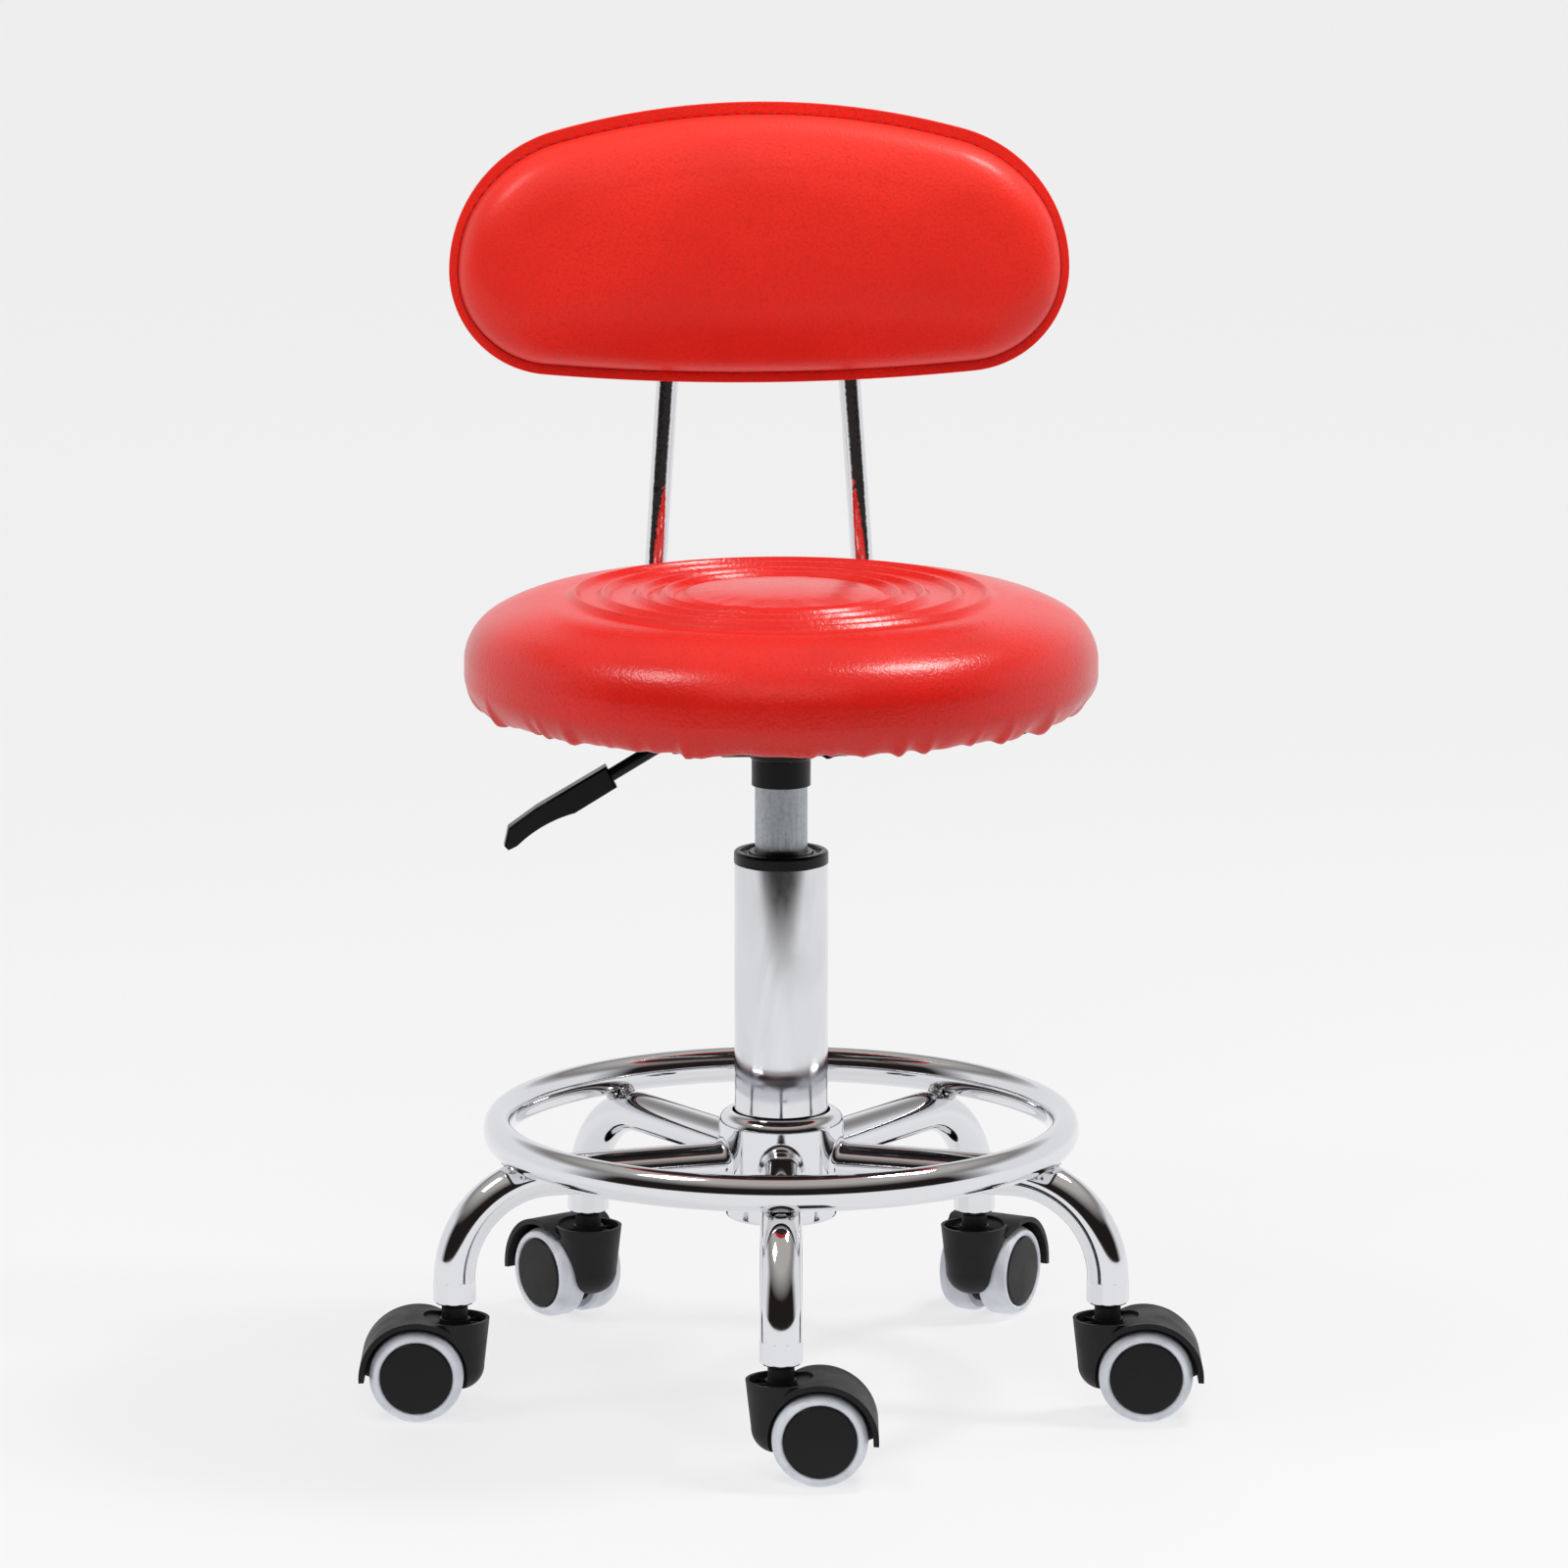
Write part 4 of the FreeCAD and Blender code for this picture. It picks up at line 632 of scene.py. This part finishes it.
def make_seat_skin(sizes):
    """The cover: the turned section, blown up by cloth between its embossed rings, then
    gathered at its lower edge by chance folds."""
    points, turn = seat_grid(sizes, 2, SEAT_COLUMNS)
    foot = sizes.bottom / MM
    rough, _ = seat_grid(sizes, 1, 200)
    radius = np.hypot(rough[:, :1, 0], rough[:, :1, 1])
    under = rough[:, :1, 2] < foot + 10.0
    top = rough[:, :1, 2] > sizes.top / MM - 0.5
    valley = top & (seat_relief(sizes, radius) < 0.4 * sizes.ridge / MM)
    push = eased(inflated(rough, under | valley, 2.5, 1.6), 1, 6)
    points += finer(push, *points.shape[:2])
    chance = np.random.default_rng(SEED)
    fold, small = puckers(turn, chance), puckers(turn, chance)
    height, radius = points[..., 2], np.hypot(points[..., 0], points[..., 1])
    reach = 8.0 + 16.0 * fold / (1.0 + fold)
    low = np.clip(1 - (height - foot) / reach, 0, 1) ** 2 * smooth(
        sizes.radius / MM - 24.0, sizes.radius / MM - 10.0, radius)
    depth = sizes.pucker / MM
    sway = 0.35 * np.sin(turn * 23 + 1.0) + 0.25 * np.sin(turn * 41 + 2.0)
    out = low * depth * (fold * 0.75 + small * 0.4 + sway * 0.5 - 0.35)
    drop = low * depth * (fold * 0.95 + small * 0.5 + sway * 0.4 + 1.45)
    points[..., 0] += out * np.cos(turn)
    points[..., 1] += out * np.sin(turn)
    points[..., 2] -= np.minimum(drop, 5.6)
    lining = points[:1] * (1, 1, 0) + (0, 0, foot + HEM_SHEET)
    middle = np.repeat(lining.mean(1, keepdims=True), SEAT_COLUMNS, 1)
    return surface("seat_cushion", np.concatenate([middle, lining, points]), sharp=50.0)


def make_seat_frill(sizes):
    """Frayed edge of the black cloth that shows under the cover: a thin ribbon round the
    seat, its outer edge in and out by chance."""
    chance = np.random.default_rng(SEED + 1)
    turn = circle(480)
    reach = sizes.radius / MM - 19.0 + 7.0 * np.minimum(puckers(turn, chance), 1.0)
    hang = 1.6 + 3.6 * np.minimum(puckers(turn, chance), 1.0)
    foot = sizes.bottom / MM
    inner = sizes.radius / MM - 27.0
    between = (inner + reach) / 2
    loops = [(inner, foot - 0.9), (between, foot - 0.9 - 0.3 * hang), (reach, foot - 0.6 - hang),
             (reach, foot - 0.2 - hang), (between, foot - 0.45 - 0.3 * hang),
             (inner, foot - 0.4)]
    grid = np.stack([np.stack([r * np.cos(turn), r * np.sin(turn), z + 0 * turn], 1)
                     for r, z in loops])
    return surface("seat_cloth_frill", grid, along=True, sharp=60.0)


class STOOL_OT_seat(bpy.types.Operator):
    """Build the upholstered seat"""

    bl_idname = "stool.seat"
    bl_label = "Seat"

    def execute(self, context):
        sizes = context.scene.stool_seat
        vinyl = soft_vinyl("seat_pu_vinyl", sizes.vinyl, 1.5, 0.29)
        skin = make_seat_skin(sizes)
        give(vinyl, skin)
        rides(skin, "seat", "seat_vinyl", "seat_cover", "seat_foam")
        cloth = woven_cloth("lining_polyester", sizes.cloth, 1.2)
        frill = make_seat_frill(sizes)
        give(cloth, frill, "seat_lining")
        rides(frill, "seat", "black_cloth")
        give(ply_wood("poplar_plywood", hex_linear("#B58E5F")), "seat_board", "back_board")
        return {"FINISHED"}


# ---------------------------------------------------------------- backrest

SLACK = 0.93                            # depth of the cushion before it is blown up


def back_outline(sizes, columns):
    """Outline of the backrest and its outward direction: an arched top, round ends and a
    nearly straight foot, as tangent arcs, spaced evenly along their length."""
    half, tall = sizes.half_width / MM, sizes.half_height / MM
    crown, foot, angle = 425.0, 1200.0, math.radians(15.3)
    upper = (half - crown * math.sin(angle)) / (1 - math.sin(angle))
    middle = tall - crown + (crown - upper) * math.cos(angle)
    drop = foot - tall - middle
    lower = (foot ** 2 - half ** 2 - drop ** 2) / (2 * (foot - half))
    tip = math.degrees(math.atan2(drop, half - lower))
    shoulder = 90 - math.degrees(angle)
    parts = [
        arc((0, tall - crown), crown, 90, shoulder, 200),
        arc(((crown - upper) * math.sin(angle), middle), upper, shoulder, 0, 200),
        arc((half - lower, middle), lower, 0, -tip, 200),
        arc((0, foot - tall), foot, -tip, -90, 200)]
    right = np.concatenate([part[:-1] for part in parts])
    line = np.concatenate([right, [[0, -tall]], right[:0:-1] * (-1, 1), right[:1]])
    run = np.concatenate([[0], np.cumsum(np.linalg.norm(np.diff(line, axis=0), axis=1))])
    even = np.linspace(0, run[-1], columns, endpoint=False)
    places = np.stack([np.interp(even, run, line[:, i]) for i in (0, 1)], 1)
    along = np.roll(places, -1, 0) - np.roll(places, 1, 0)
    along /= np.linalg.norm(along, axis=1)[:, None]
    return places, np.stack([-along[:, 1], along[:, 0]], 1), run[-1]


def back_place(sizes, points):
    """Carry (across, up, depth before the rear face) to the stool: bent round the sitter by
    across squared over twice the curve, then leant back about the backrest's middle."""
    across, up, depth = np.moveaxis(points, -1, 0)
    ahead = depth + across ** 2 / (2 * sizes.curve / MM)
    lean = sizes.lean
    tall = sizes.half_height / MM
    back = BACK_HIGH[1] - tall * math.sin(lean)
    height = (BACK_LOW[2] + BACK_HIGH[2]) / 2
    return np.stack([across, back + up * math.sin(lean) - ahead * math.cos(lean),
                     height + up * math.cos(lean) + ahead * math.sin(lean)], -1)


def flange_width(outward):
    """Sewn edge outside the seam: wider at the top, narrower at the ends."""
    up = outward[:, 1]
    return 5.0 + 2.0 * smooth(0.3, 1.0, up) + 1.0 * smooth(0.3, 1.0, -up)


def back_grid(sizes, columns, fine):
    """Grid from the rear of the seam allowance, over its edge and the stitched seam, to the
    middle of the crowned front."""
    places, outward, _ = back_outline(sizes, columns)
    seam = flange_width(outward)
    sheet, front, rise = 2.6, sizes.depth / MM, sizes.rise / MM
    dip = sheet - 0.9
    rows = [(9.0, 1.4), (0.5, 1.4), (0.0, 1.9), (0.4, sheet)]
    rows += [(seam * share, sheet) for share in np.linspace(0.2, 0.86, 3 * fine)]
    rows += [(seam, dip)]
    for share in np.linspace(0.0, 1.0, 14 * fine)[1:] ** 1.7:
        bulge = (1 - (1 - share) ** 2.3) ** (1 / 2.3)
        rows += [(seam + rise * share, dip + (front - 3.0 - sheet) * bulge)]
    ring = places - outward * (seam + rise)[:, None]
    grid = [np.column_stack([places - outward * np.broadcast_to(inset, columns)[:, None],
                             np.full(columns, depth)]) for inset, depth in rows]
    for share in np.linspace(0.0, 1.0, 14 * fine)[1:]:
        crown = front - 3.9 + 2.2 * share ** 2 * (3 - 2 * share)
        grid.append(np.column_stack([ring * (1 - share), np.full(columns, crown)]))
    return np.array(grid)


def make_back_skin(sizes):
    """The front panel: sewn flat at its edge, blown up by cloth inside the seam. Pinned rows
    are those up to the seam."""
    points, push = back_grid(sizes, BACK_COLUMNS, 3), 0.0
    rough = back_grid(sizes, BACK_COLUMNS // 2, 1)
    held = np.arange(len(rough))[:, None] < 8
    rough[..., 2] *= np.where(held, 1.0, SLACK)
    push = eased(inflated(back_place(sizes, rough), held, 3.0, 3.0), 6, 60)
    points[..., 2] *= np.where(np.arange(len(points))[:, None] < 14, 1.0, SLACK)
    push = finer(push, *points.shape[:2])
    skin = back_place(sizes, points) + push
    behind = np.repeat(skin[0].mean(0)[None], BACK_COLUMNS, 0)[None]
    return surface("back_cushion", np.concatenate([behind, skin]), sharp=50.0)


def make_stitches(sizes):
    """One row of lock stitches along the seam: each a short round-ended thread that dips
    into the vinyl at its ends."""
    _, _, around = back_outline(sizes, 8)
    count = int(around * MM / sizes.pitch)
    places, outward, _ = back_outline(sizes, count)
    seam = flange_width(outward)
    centre = np.concatenate([places - outward * (seam - 0.4)[:, None],
                             np.full((count, 1), 2.35)], 1)
    ahead = np.stack([outward[:, 1], -outward[:, 0], np.zeros(count)], 1)
    half = sizes.stitch / MM / 2
    ends = [back_place(sizes, centre + ahead * step) for step in (-half, half)]
    above = back_place(sizes, centre + (0, 0, 1.0)) - back_place(sizes, centre)
    run = (ends[1] - ends[0]) / (2 * half)
    side = np.cross(above, run)
    slant = np.linspace(-math.pi / 2, math.pi / 2, 7)
    turn = circle(8)
    thread = np.stack(
        [np.broadcast_to(half * np.sin(slant)[:, None], (7, 8)),
         0.55 * np.sqrt(np.cos(slant))[:, None] * np.cos(turn),
         0.45 * np.sqrt(np.cos(slant))[:, None] * np.sin(turn)], 2)
    carry = np.stack([run, side, above, (ends[0] + ends[1]) / 2], 2)
    return scattered("back_stitches", thread, carry)


class STOOL_OT_backrest(bpy.types.Operator):
    """Build the stitched backrest"""

    bl_idname = "stool.backrest"
    bl_label = "Backrest"

    def execute(self, context):
        sizes = context.scene.stool_back
        vinyl = soft_vinyl("back_pu_vinyl", sizes.vinyl, 1.3, 0.48)
        skin = make_back_skin(sizes)
        give(vinyl, skin, "back_lining")
        rides(skin, "seat", "back_vinyl", "back_cover", "back_foam")
        stitches = make_stitches(sizes)
        give(moulded("polyester_thread", sizes.thread, 0.6, 0.5, 0.05, Sheen_Weight=0.3), stitches)
        rides(stitches, "seat", "back_vinyl")
        return {"FINISHED"}


# ---------------------------------------------------------------- chromed base

def leg_turns():
    """Direction of each leg, from where its caster swivels."""
    places = [joint(f"caster_{i + 1}_swivel")["pos_m"] for i in range(LEGS)]
    return [math.atan2(y, x) for x, y, _ in places], np.hypot(*places[0][:2]) / MM


def make_leg(number, sizes, turn, reach):
    """Leg tube: level from the hub, then a quarter bend down to its caster."""
    radius, bend, height = sizes.leg_radius / MM, sizes.leg_bend / MM, sizes.leg_height / MM
    lowest = box(f"leg_{number}")[0][2]
    start = sizes.leg_start / MM - 1.0
    level = np.stack([np.linspace(start, reach - bend, 12), np.full(12, height)], 1)
    curve = arc((reach - bend, height - bend), bend, 90, 0, 40)[1:]
    down = np.stack([np.full(3, reach), np.linspace(curve[-1, 1], lowest, 4)[1:]], 1)
    flat = np.concatenate([level, curve, down])
    ahead = np.array([math.cos(turn), math.sin(turn), 0.0])
    path = flat[:, :1] * ahead + flat[:, 1:] * np.array([0, 0, 1.0])
    side = np.array([-math.sin(turn), math.cos(turn), 0.0])
    return pipe(f"base_leg_{number}", path, radius, side)


def weld_heat(turns, reach, spread_mm):
    """How hot welding made each point: falls off with its distance from where each leg
    meets the foot ring."""
    spots = np.array([[reach * math.cos(t), reach * math.sin(t), RING_LOW[2]] for t in turns])

    def heat(places):
        away = np.linalg.norm(places[:, None] - spots[None], axis=2).min(1)
        return np.clip(1.25 - away / spread_mm, 0, 1) ** 1.4

    return heat


def make_ring(sizes):
    """Foot ring: an oval section carried round the column."""
    half, tall = sizes.ring_half_width / MM, (RING_HIGH[2] - RING_LOW[2]) / 2
    reach = RING_HIGH[0] - half
    turn = circle(320)[:, None]
    section = circle(56)[None]
    radius = reach + half * np.cos(section)
    height = (RING_LOW[2] + RING_HIGH[2]) / 2 + tall * np.sin(section) + 0 * turn
    grid = np.stack([radius * np.cos(turn), radius * np.sin(turn), height], 2)
    return surface("base_foot_ring", grid, along=True), reach


def make_beads(sizes, turns, reach):
    """Weld beads where the foot ring sits on the legs: on each leg one lumpy bead inside the
    ring and a small one on each side."""
    size = sizes.bead / MM
    slant = np.linspace(-math.pi / 2, math.pi / 2, 13)[:, None]
    turn = circle(20)[None]
    lump = 1 + 0.09 * np.sin(5 * slant + 1) * np.cos(3 * turn) + 0.06 * np.cos(7 * turn + 4 * slant)
    ball = np.stack([lump * np.cos(slant) * np.cos(turn), lump * np.cos(slant) * np.sin(turn),
                     lump * np.sin(slant) + 0 * turn], 2)
    places = []
    spots = [(-6.9, 0.0, 3.1, (0.62, 1.0, 0.72)), (-2.0, 6.6, -0.8, (1.0, 0.45, 0.5)),
             (-2.0, -6.6, -0.8, (1.0, 0.45, 0.5))]
    for k, angle in enumerate(turns):
        ahead = np.array([math.cos(angle), math.sin(angle), 0])
        side = np.array([-math.sin(angle), math.cos(angle), 0])
        for out, across, up, share in spots:
            grow = size * (1 + 0.12 * math.sin(3.1 * k + across))
            origin = ahead * (reach + out) + side * across + (0, 0, RING_LOW[2] + up)
            places.append(np.stack([ahead * share[0] * grow, side * share[1] * grow,
                                    np.array([0, 0, share[2] * grow]), origin], 1))
    return scattered("base_weld_beads", ball, np.array(places))


class STOOL_OT_base(bpy.types.Operator):
    """Build the chromed base with its foot ring"""

    bl_idname = "stool.base"
    bl_label = "Base"

    def execute(self, context):
        sizes = context.scene.stool_frame
        chrome = bright_chrome("bright_chrome_plate", sizes.chrome, sizes.scale)
        turns, swivel = leg_turns()
        ring, reach = make_ring(sizes)
        heat = weld_heat(turns, reach, 22.0)
        paint(ring, "heat", heat)
        give(chrome, ring)
        rides(ring, "base", "chrome", "foot_ring")
        for number, turn in enumerate(turns, 1):
            leg = make_leg(number, sizes, turn, swivel)
            paint(leg, "heat", heat)
            give(chrome, leg)
            rides(leg, "base", "chrome", f"leg_{number}")
        beads = make_beads(sizes, turns, reach)
        give(bare_steel("weld_steel", hex_linear("#C9C8C4"), 0.22), beads)
        rides(beads, "base", "chrome")
        give(chrome, "base_hub", "caster_sockets")
        return {"FINISHED"}


# ---------------------------------------------------------------- column

class STOOL_OT_column(bpy.types.Operator):
    """Build the column tube and finish the gas spring"""

    bl_idname = "stool.column"
    bl_label = "Column"

    def execute(self, context):
        sizes = context.scene.stool_frame
        low, high = TUBE_LOW[2], TUBE_HIGH[2]
        radius = TUBE_HIGH[0]
        tube = lathe("column_sleeve", rounded([
            (0, low), (radius - 0.7, low), (radius, low + 26.0), (radius, high, 0.5),
            (radius - 1.5, high, 0.4), (radius - 1.5, high - 40.0), (0, high - 40.0)]), 128)
        give(bright_chrome("hazy_chrome_plate", sizes.chrome, sizes.scale, 0.13), tube)
        rides(tube, "base", "chrome", "column_tube")
        gloss = moulded("gloss_black_abs", sizes.black, 0.25, 0.6, 0.03, Specular_IOR_Level=0.22)
        give(gloss, "guide_collar", "lever_grip")
        give(moulded("black_stove_enamel", sizes.black, 0.32, 1.4, 0.08,
                     Specular_IOR_Level=0.25), "seat_plate", "lever_rod")
        give(bare_steel("zinc_plated_cylinder", sizes.zinc, 0.36), "gas_cylinder")
        give(bare_steel("bright_drawn_steel", hex_linear("#B9BBBE"), 0.25), "piston_rod",
             "rod_retainers", "valve_pin", "caster_stems", "screws", "lever_pivot",
             *(f"caster_{i + 1}_axle" for i in range(LEGS)))
        chrome = bpy.data.materials["bright_chrome_plate"]
        give(chrome, "back_post_left", "back_post_right")
        return {"FINISHED"}


# ---------------------------------------------------------------- casters

def wheel_profiles(sizes):
    """Sections of the hard core and of the tyre, as (radius, place along the axle)."""
    wheel, core = sizes.wheel / MM, sizes.core / MM
    inner, outer = sizes.inner / MM, sizes.outer / MM
    hub = [(0, inner + 2.0), (6.0, inner + 2.0), (7.2, inner), (9.0, inner, 1.0),
           (9.4, inner + 9.0), (core - 2.2, inner + 9.0), (core - 2.2, inner + 0.9),
           (core, inner + 0.9)]
    face = [(core - 0.1, outer - 1.2), (core - 0.7, outer - 0.45, 0.6), (core - 6.0, outer - 0.35),
            (core * 0.45, outer - 0.1), (0, outer)]
    tyre = [(core + 0.05, inner + 0.9), (wheel - 1.9, inner, 0.8), (wheel, inner + 1.9, 1.9),
            (wheel, outer - 5.5, 5.0), (wheel - 2.2, outer - 0.7, 2.6),
            (core + 1.2, outer - 0.2, 1.6), (core + 0.05, outer - 2.2)]
    return rounded(hub + face), rounded(tyre, closed=True)


class STOOL_OT_casters(bpy.types.Operator):
    """Build the caster wheels and finish their housings"""

    bl_idname = "stool.casters"
    bl_label = "Casters"

    def execute(self, context):
        sizes = context.scene.stool_casters
        nylon = moulded("housing_nylon", sizes.nylon, 0.5, 0.9, 0.06, Specular_IOR_Level=0.3)
        disc = moulded("core_nylon", sizes.nylon, 0.42, 0.8, 0.04, Specular_IOR_Level=0.25)
        soft = moulded("tyre_polyurethane", sizes.tyre, 0.38, 2.5, 0.03, Subsurface_Weight=0.15,
                       Subsurface_Radius=(0.004, 0.004, 0.004), Subsurface_Scale=1.0)
        hard, tyre = wheel_profiles(sizes)
        for number in range(1, LEGS + 1):
            give(nylon, f"caster_{number}_housing")
            for side, way in (("left", 1.0), ("right", -1.0)):
                spin = joint(f"wheel_{number}_{side}_spin")
                axis = np.array(spin["axis"]) * way
                middle = np.array(spin["pos_m"]) / MM
                name = f"caster_{number}_{side}"
                body = f"wheel_{number}_{side}"
                core = lathe(name + "_disc", hard, 72, middle, axis, 30)
                give(disc, core)
                rides(core, body, "caster_nylon", name + "_core")
                ring = lathe(name + "_tread", tyre, 72, middle, axis, 60)
                give(soft, ring)
                rides(ring, body, "caster_tyre", name + "_tyre")
        return {"FINISHED"}


# ---------------------------------------------------------------- stage

def make_floor(sizes):
    """A wide sheet of pale paper under the stool that glows a little. Every ray but the
    camera's sees it give way, 1.5 to 2.9 metres ahead, to dark grey: painted shade for the unlit
    room."""
    reach = np.concatenate([[0.0], np.geomspace(200.0, 40000.0, 24)])
    turn = circle(96)
    grid = np.stack([reach[:, None] * np.cos(turn), reach[:, None] * np.sin(turn),
                     np.zeros((25, 96))], 2)
    floor = surface("paper_floor", grid)
    floor.data.flip_normals()
    material, tree, shader, place = finish("studio_paper", Roughness=0.75,
                                           Specular_IOR_Level=0.25)
    away = add(tree, "VectorMath", {0: place}, operation="LENGTH").outputs["Value"]
    turned = add(tree, "Mapping", {"Vector": place, "Rotation": (0, 0, -sizes.azimuth)})
    ahead = add(tree, "SeparateXYZ", {"Vector": turned.outputs[0]}).outputs["Y"]
    # Painted shade: for every ray but the camera's, the floor ahead turns dark grey and stops
    # glowing, standing for the unlit room.
    paper = spread(tree, ahead, 0.0, 1.0, (-2.9, -1.5))
    shown = add(tree, "LightPath").outputs["Is Camera Ray"]
    white = add(tree, "Math", {0: paper, 1: shown}, operation="MAXIMUM").outputs[0]
    glow = product(tree, spread(tree, away, 0.75, 0.80, (0.5, 3.2)), white)
    # 3A3634 is the painted shade of the unlit room. The camera always sees the pale paper.
    tree.links.new(mixed(tree, white, rgba(hex_linear("#3A3634")), rgba(sizes.floor, 0.2)),
                   shader.inputs["Base Color"])
    tree.links.new(glow, shader.inputs["Emission Strength"])
    shader.inputs["Emission Color"].default_value = rgba(sizes.floor)
    give(material, floor)


def make_light(name, place, aim, wide, tall, power, mirrored=True):
    """A soft rectangular light at a place, turned to an aim. One that isn't mirrored stands
    for light thrown back by the room, too wide and even to leave a highlight."""
    data = bpy.data.lights.new(name, "AREA")
    data.shape, data.size, data.size_y, data.energy = "RECTANGLE", wide, tall, power
    light = bpy.data.objects.new(name, data)
    light.location = place
    light.rotation_euler = (Vector(aim) - Vector(place)).to_track_quat("-Z", "Y").to_euler()
    light.visible_glossy = mirrored
    bpy.context.scene.collection.objects.link(light)


def make_world(turn):
    """The paper sweeps up behind the stool; behind the camera the room is unlit, and overhead
    it is grey with stray light. The camera itself sees pale paper."""
    world = bpy.data.worlds.new("studio")
    bpy.context.scene.world = world
    world.use_nodes = True
    tree = world.node_tree
    tree.nodes.clear()
    look = add(tree, "TexCoord").outputs["Generated"]
    axes = add(tree, "SeparateXYZ", {"Vector": add(tree, "Mapping", {
        "Vector": look, "Rotation": (0, 0, -turn)}).outputs[0]})
    behind = spread(tree, axes.outputs["Y"], 0.0, 1.0, (-0.35, 0.05))
    low = spread(tree, axes.outputs["Z"], 1.0, 0.0, (0.42, 0.62))
    sweep = product(tree, behind, low)
    seen = add(tree, "LightPath")
    overhead = spread(tree, axes.outputs["Z"], 0.0, 1.0, (0.42, 0.8))
    room = mixed(tree, overhead, rgba(hex_linear("#231F1D")), rgba(hex_linear("#BDB9B4")))
    shade = mixed(tree, sweep, room, rgba(hex_linear("#F4F4F6")))
    lit = add(tree, "Background", {"Color": shade, "Strength": 0.95})
    plain = add(tree, "Background", {"Color": rgba(hex_linear("#EDEDEF")), "Strength": 1.0})
    both = add(tree, "MixShader", {0: seen.outputs["Is Camera Ray"], 1: lit.outputs[0],
                                   2: plain.outputs[0]})
    add(tree, "OutputWorld", {"Surface": both.outputs[0]})


class STOOL_OT_stage(bpy.types.Operator):
    """Set up the floor, the soft light and the camera"""

    bl_idname = "stool.stage"
    bl_label = "Stage"

    def execute(self, context):
        sizes = context.scene.stool_stage
        make_floor(sizes)
        make_world(sizes.azimuth)
        turn = Matrix.Rotation(sizes.azimuth, 3, "Z")
        middle = (0, 0, 0.4)
        make_light("left_softbox", turn @ Vector((-1.15, -0.54, 2.2)), middle, 0.6, 0.6, 14)
        make_light("right_softbox", turn @ Vector((1.0, 0.19, 2.37)), middle, 0.45, 0.55, 31)
        make_light("front_fill", turn @ Vector((0, -2.5, 2.4)), (0, 0, 0.6), 2.2, 1.6, 42, False)
        data = bpy.data.cameras.new("camera")
        data.lens, data.sensor_width = sizes.lens, 36.0
        camera = bpy.data.objects.new("camera", data)
        camera.location = turn @ Vector((sizes.side, -sizes.distance, sizes.height))
        camera.rotation_euler = (math.pi / 2 - sizes.pitch, 0, sizes.azimuth)
        context.scene.collection.objects.link(camera)
        context.scene.camera = camera
        context.scene.view_settings.view_transform = "Standard"
        return {"FINISHED"}


# ---------------------------------------------------------------- add-on

OPERATORS = (STOOL_OT_seat, STOOL_OT_backrest, STOOL_OT_base, STOOL_OT_column,
             STOOL_OT_casters, STOOL_OT_stage)
GROUPS = {"stool_seat": SeatSizes, "stool_back": BackSizes, "stool_frame": FrameSizes,
          "stool_casters": CasterSizes, "stool_stage": StageSizes}


class STOOL_PT_panel(bpy.types.Panel):
    """Lists the stool's pieces in the sidebar"""

    bl_label = "Rolling stool"
    bl_space_type = "VIEW_3D"
    bl_region_type = "UI"
    bl_category = "Stool"

    def draw(self, context):
        for operator in OPERATORS:
            self.layout.operator(operator.bl_idname)
        for name, group in GROUPS.items():
            values = getattr(context.scene, name)
            for key in group.__annotations__:
                self.layout.prop(values, key)


def register():
    for group in GROUPS.values():
        bpy.utils.register_class(group)
    for name, group in GROUPS.items():
        setattr(bpy.types.Scene, name, bpy.props.PointerProperty(type=group))
    for kind in OPERATORS + (STOOL_PT_panel,):
        bpy.utils.register_class(kind)


def unregister():
    for kind in (STOOL_PT_panel,) + OPERATORS[::-1]:
        bpy.utils.unregister_class(kind)
    for name, group in GROUPS.items():
        delattr(bpy.types.Scene, name)
        bpy.utils.unregister_class(group)


def main():
    """Build every piece in order."""
    register()
    for kind in OPERATORS:
        getattr(bpy.ops.stool, kind.bl_idname.split(".")[1])()


if __name__ == "__main__":
    main()
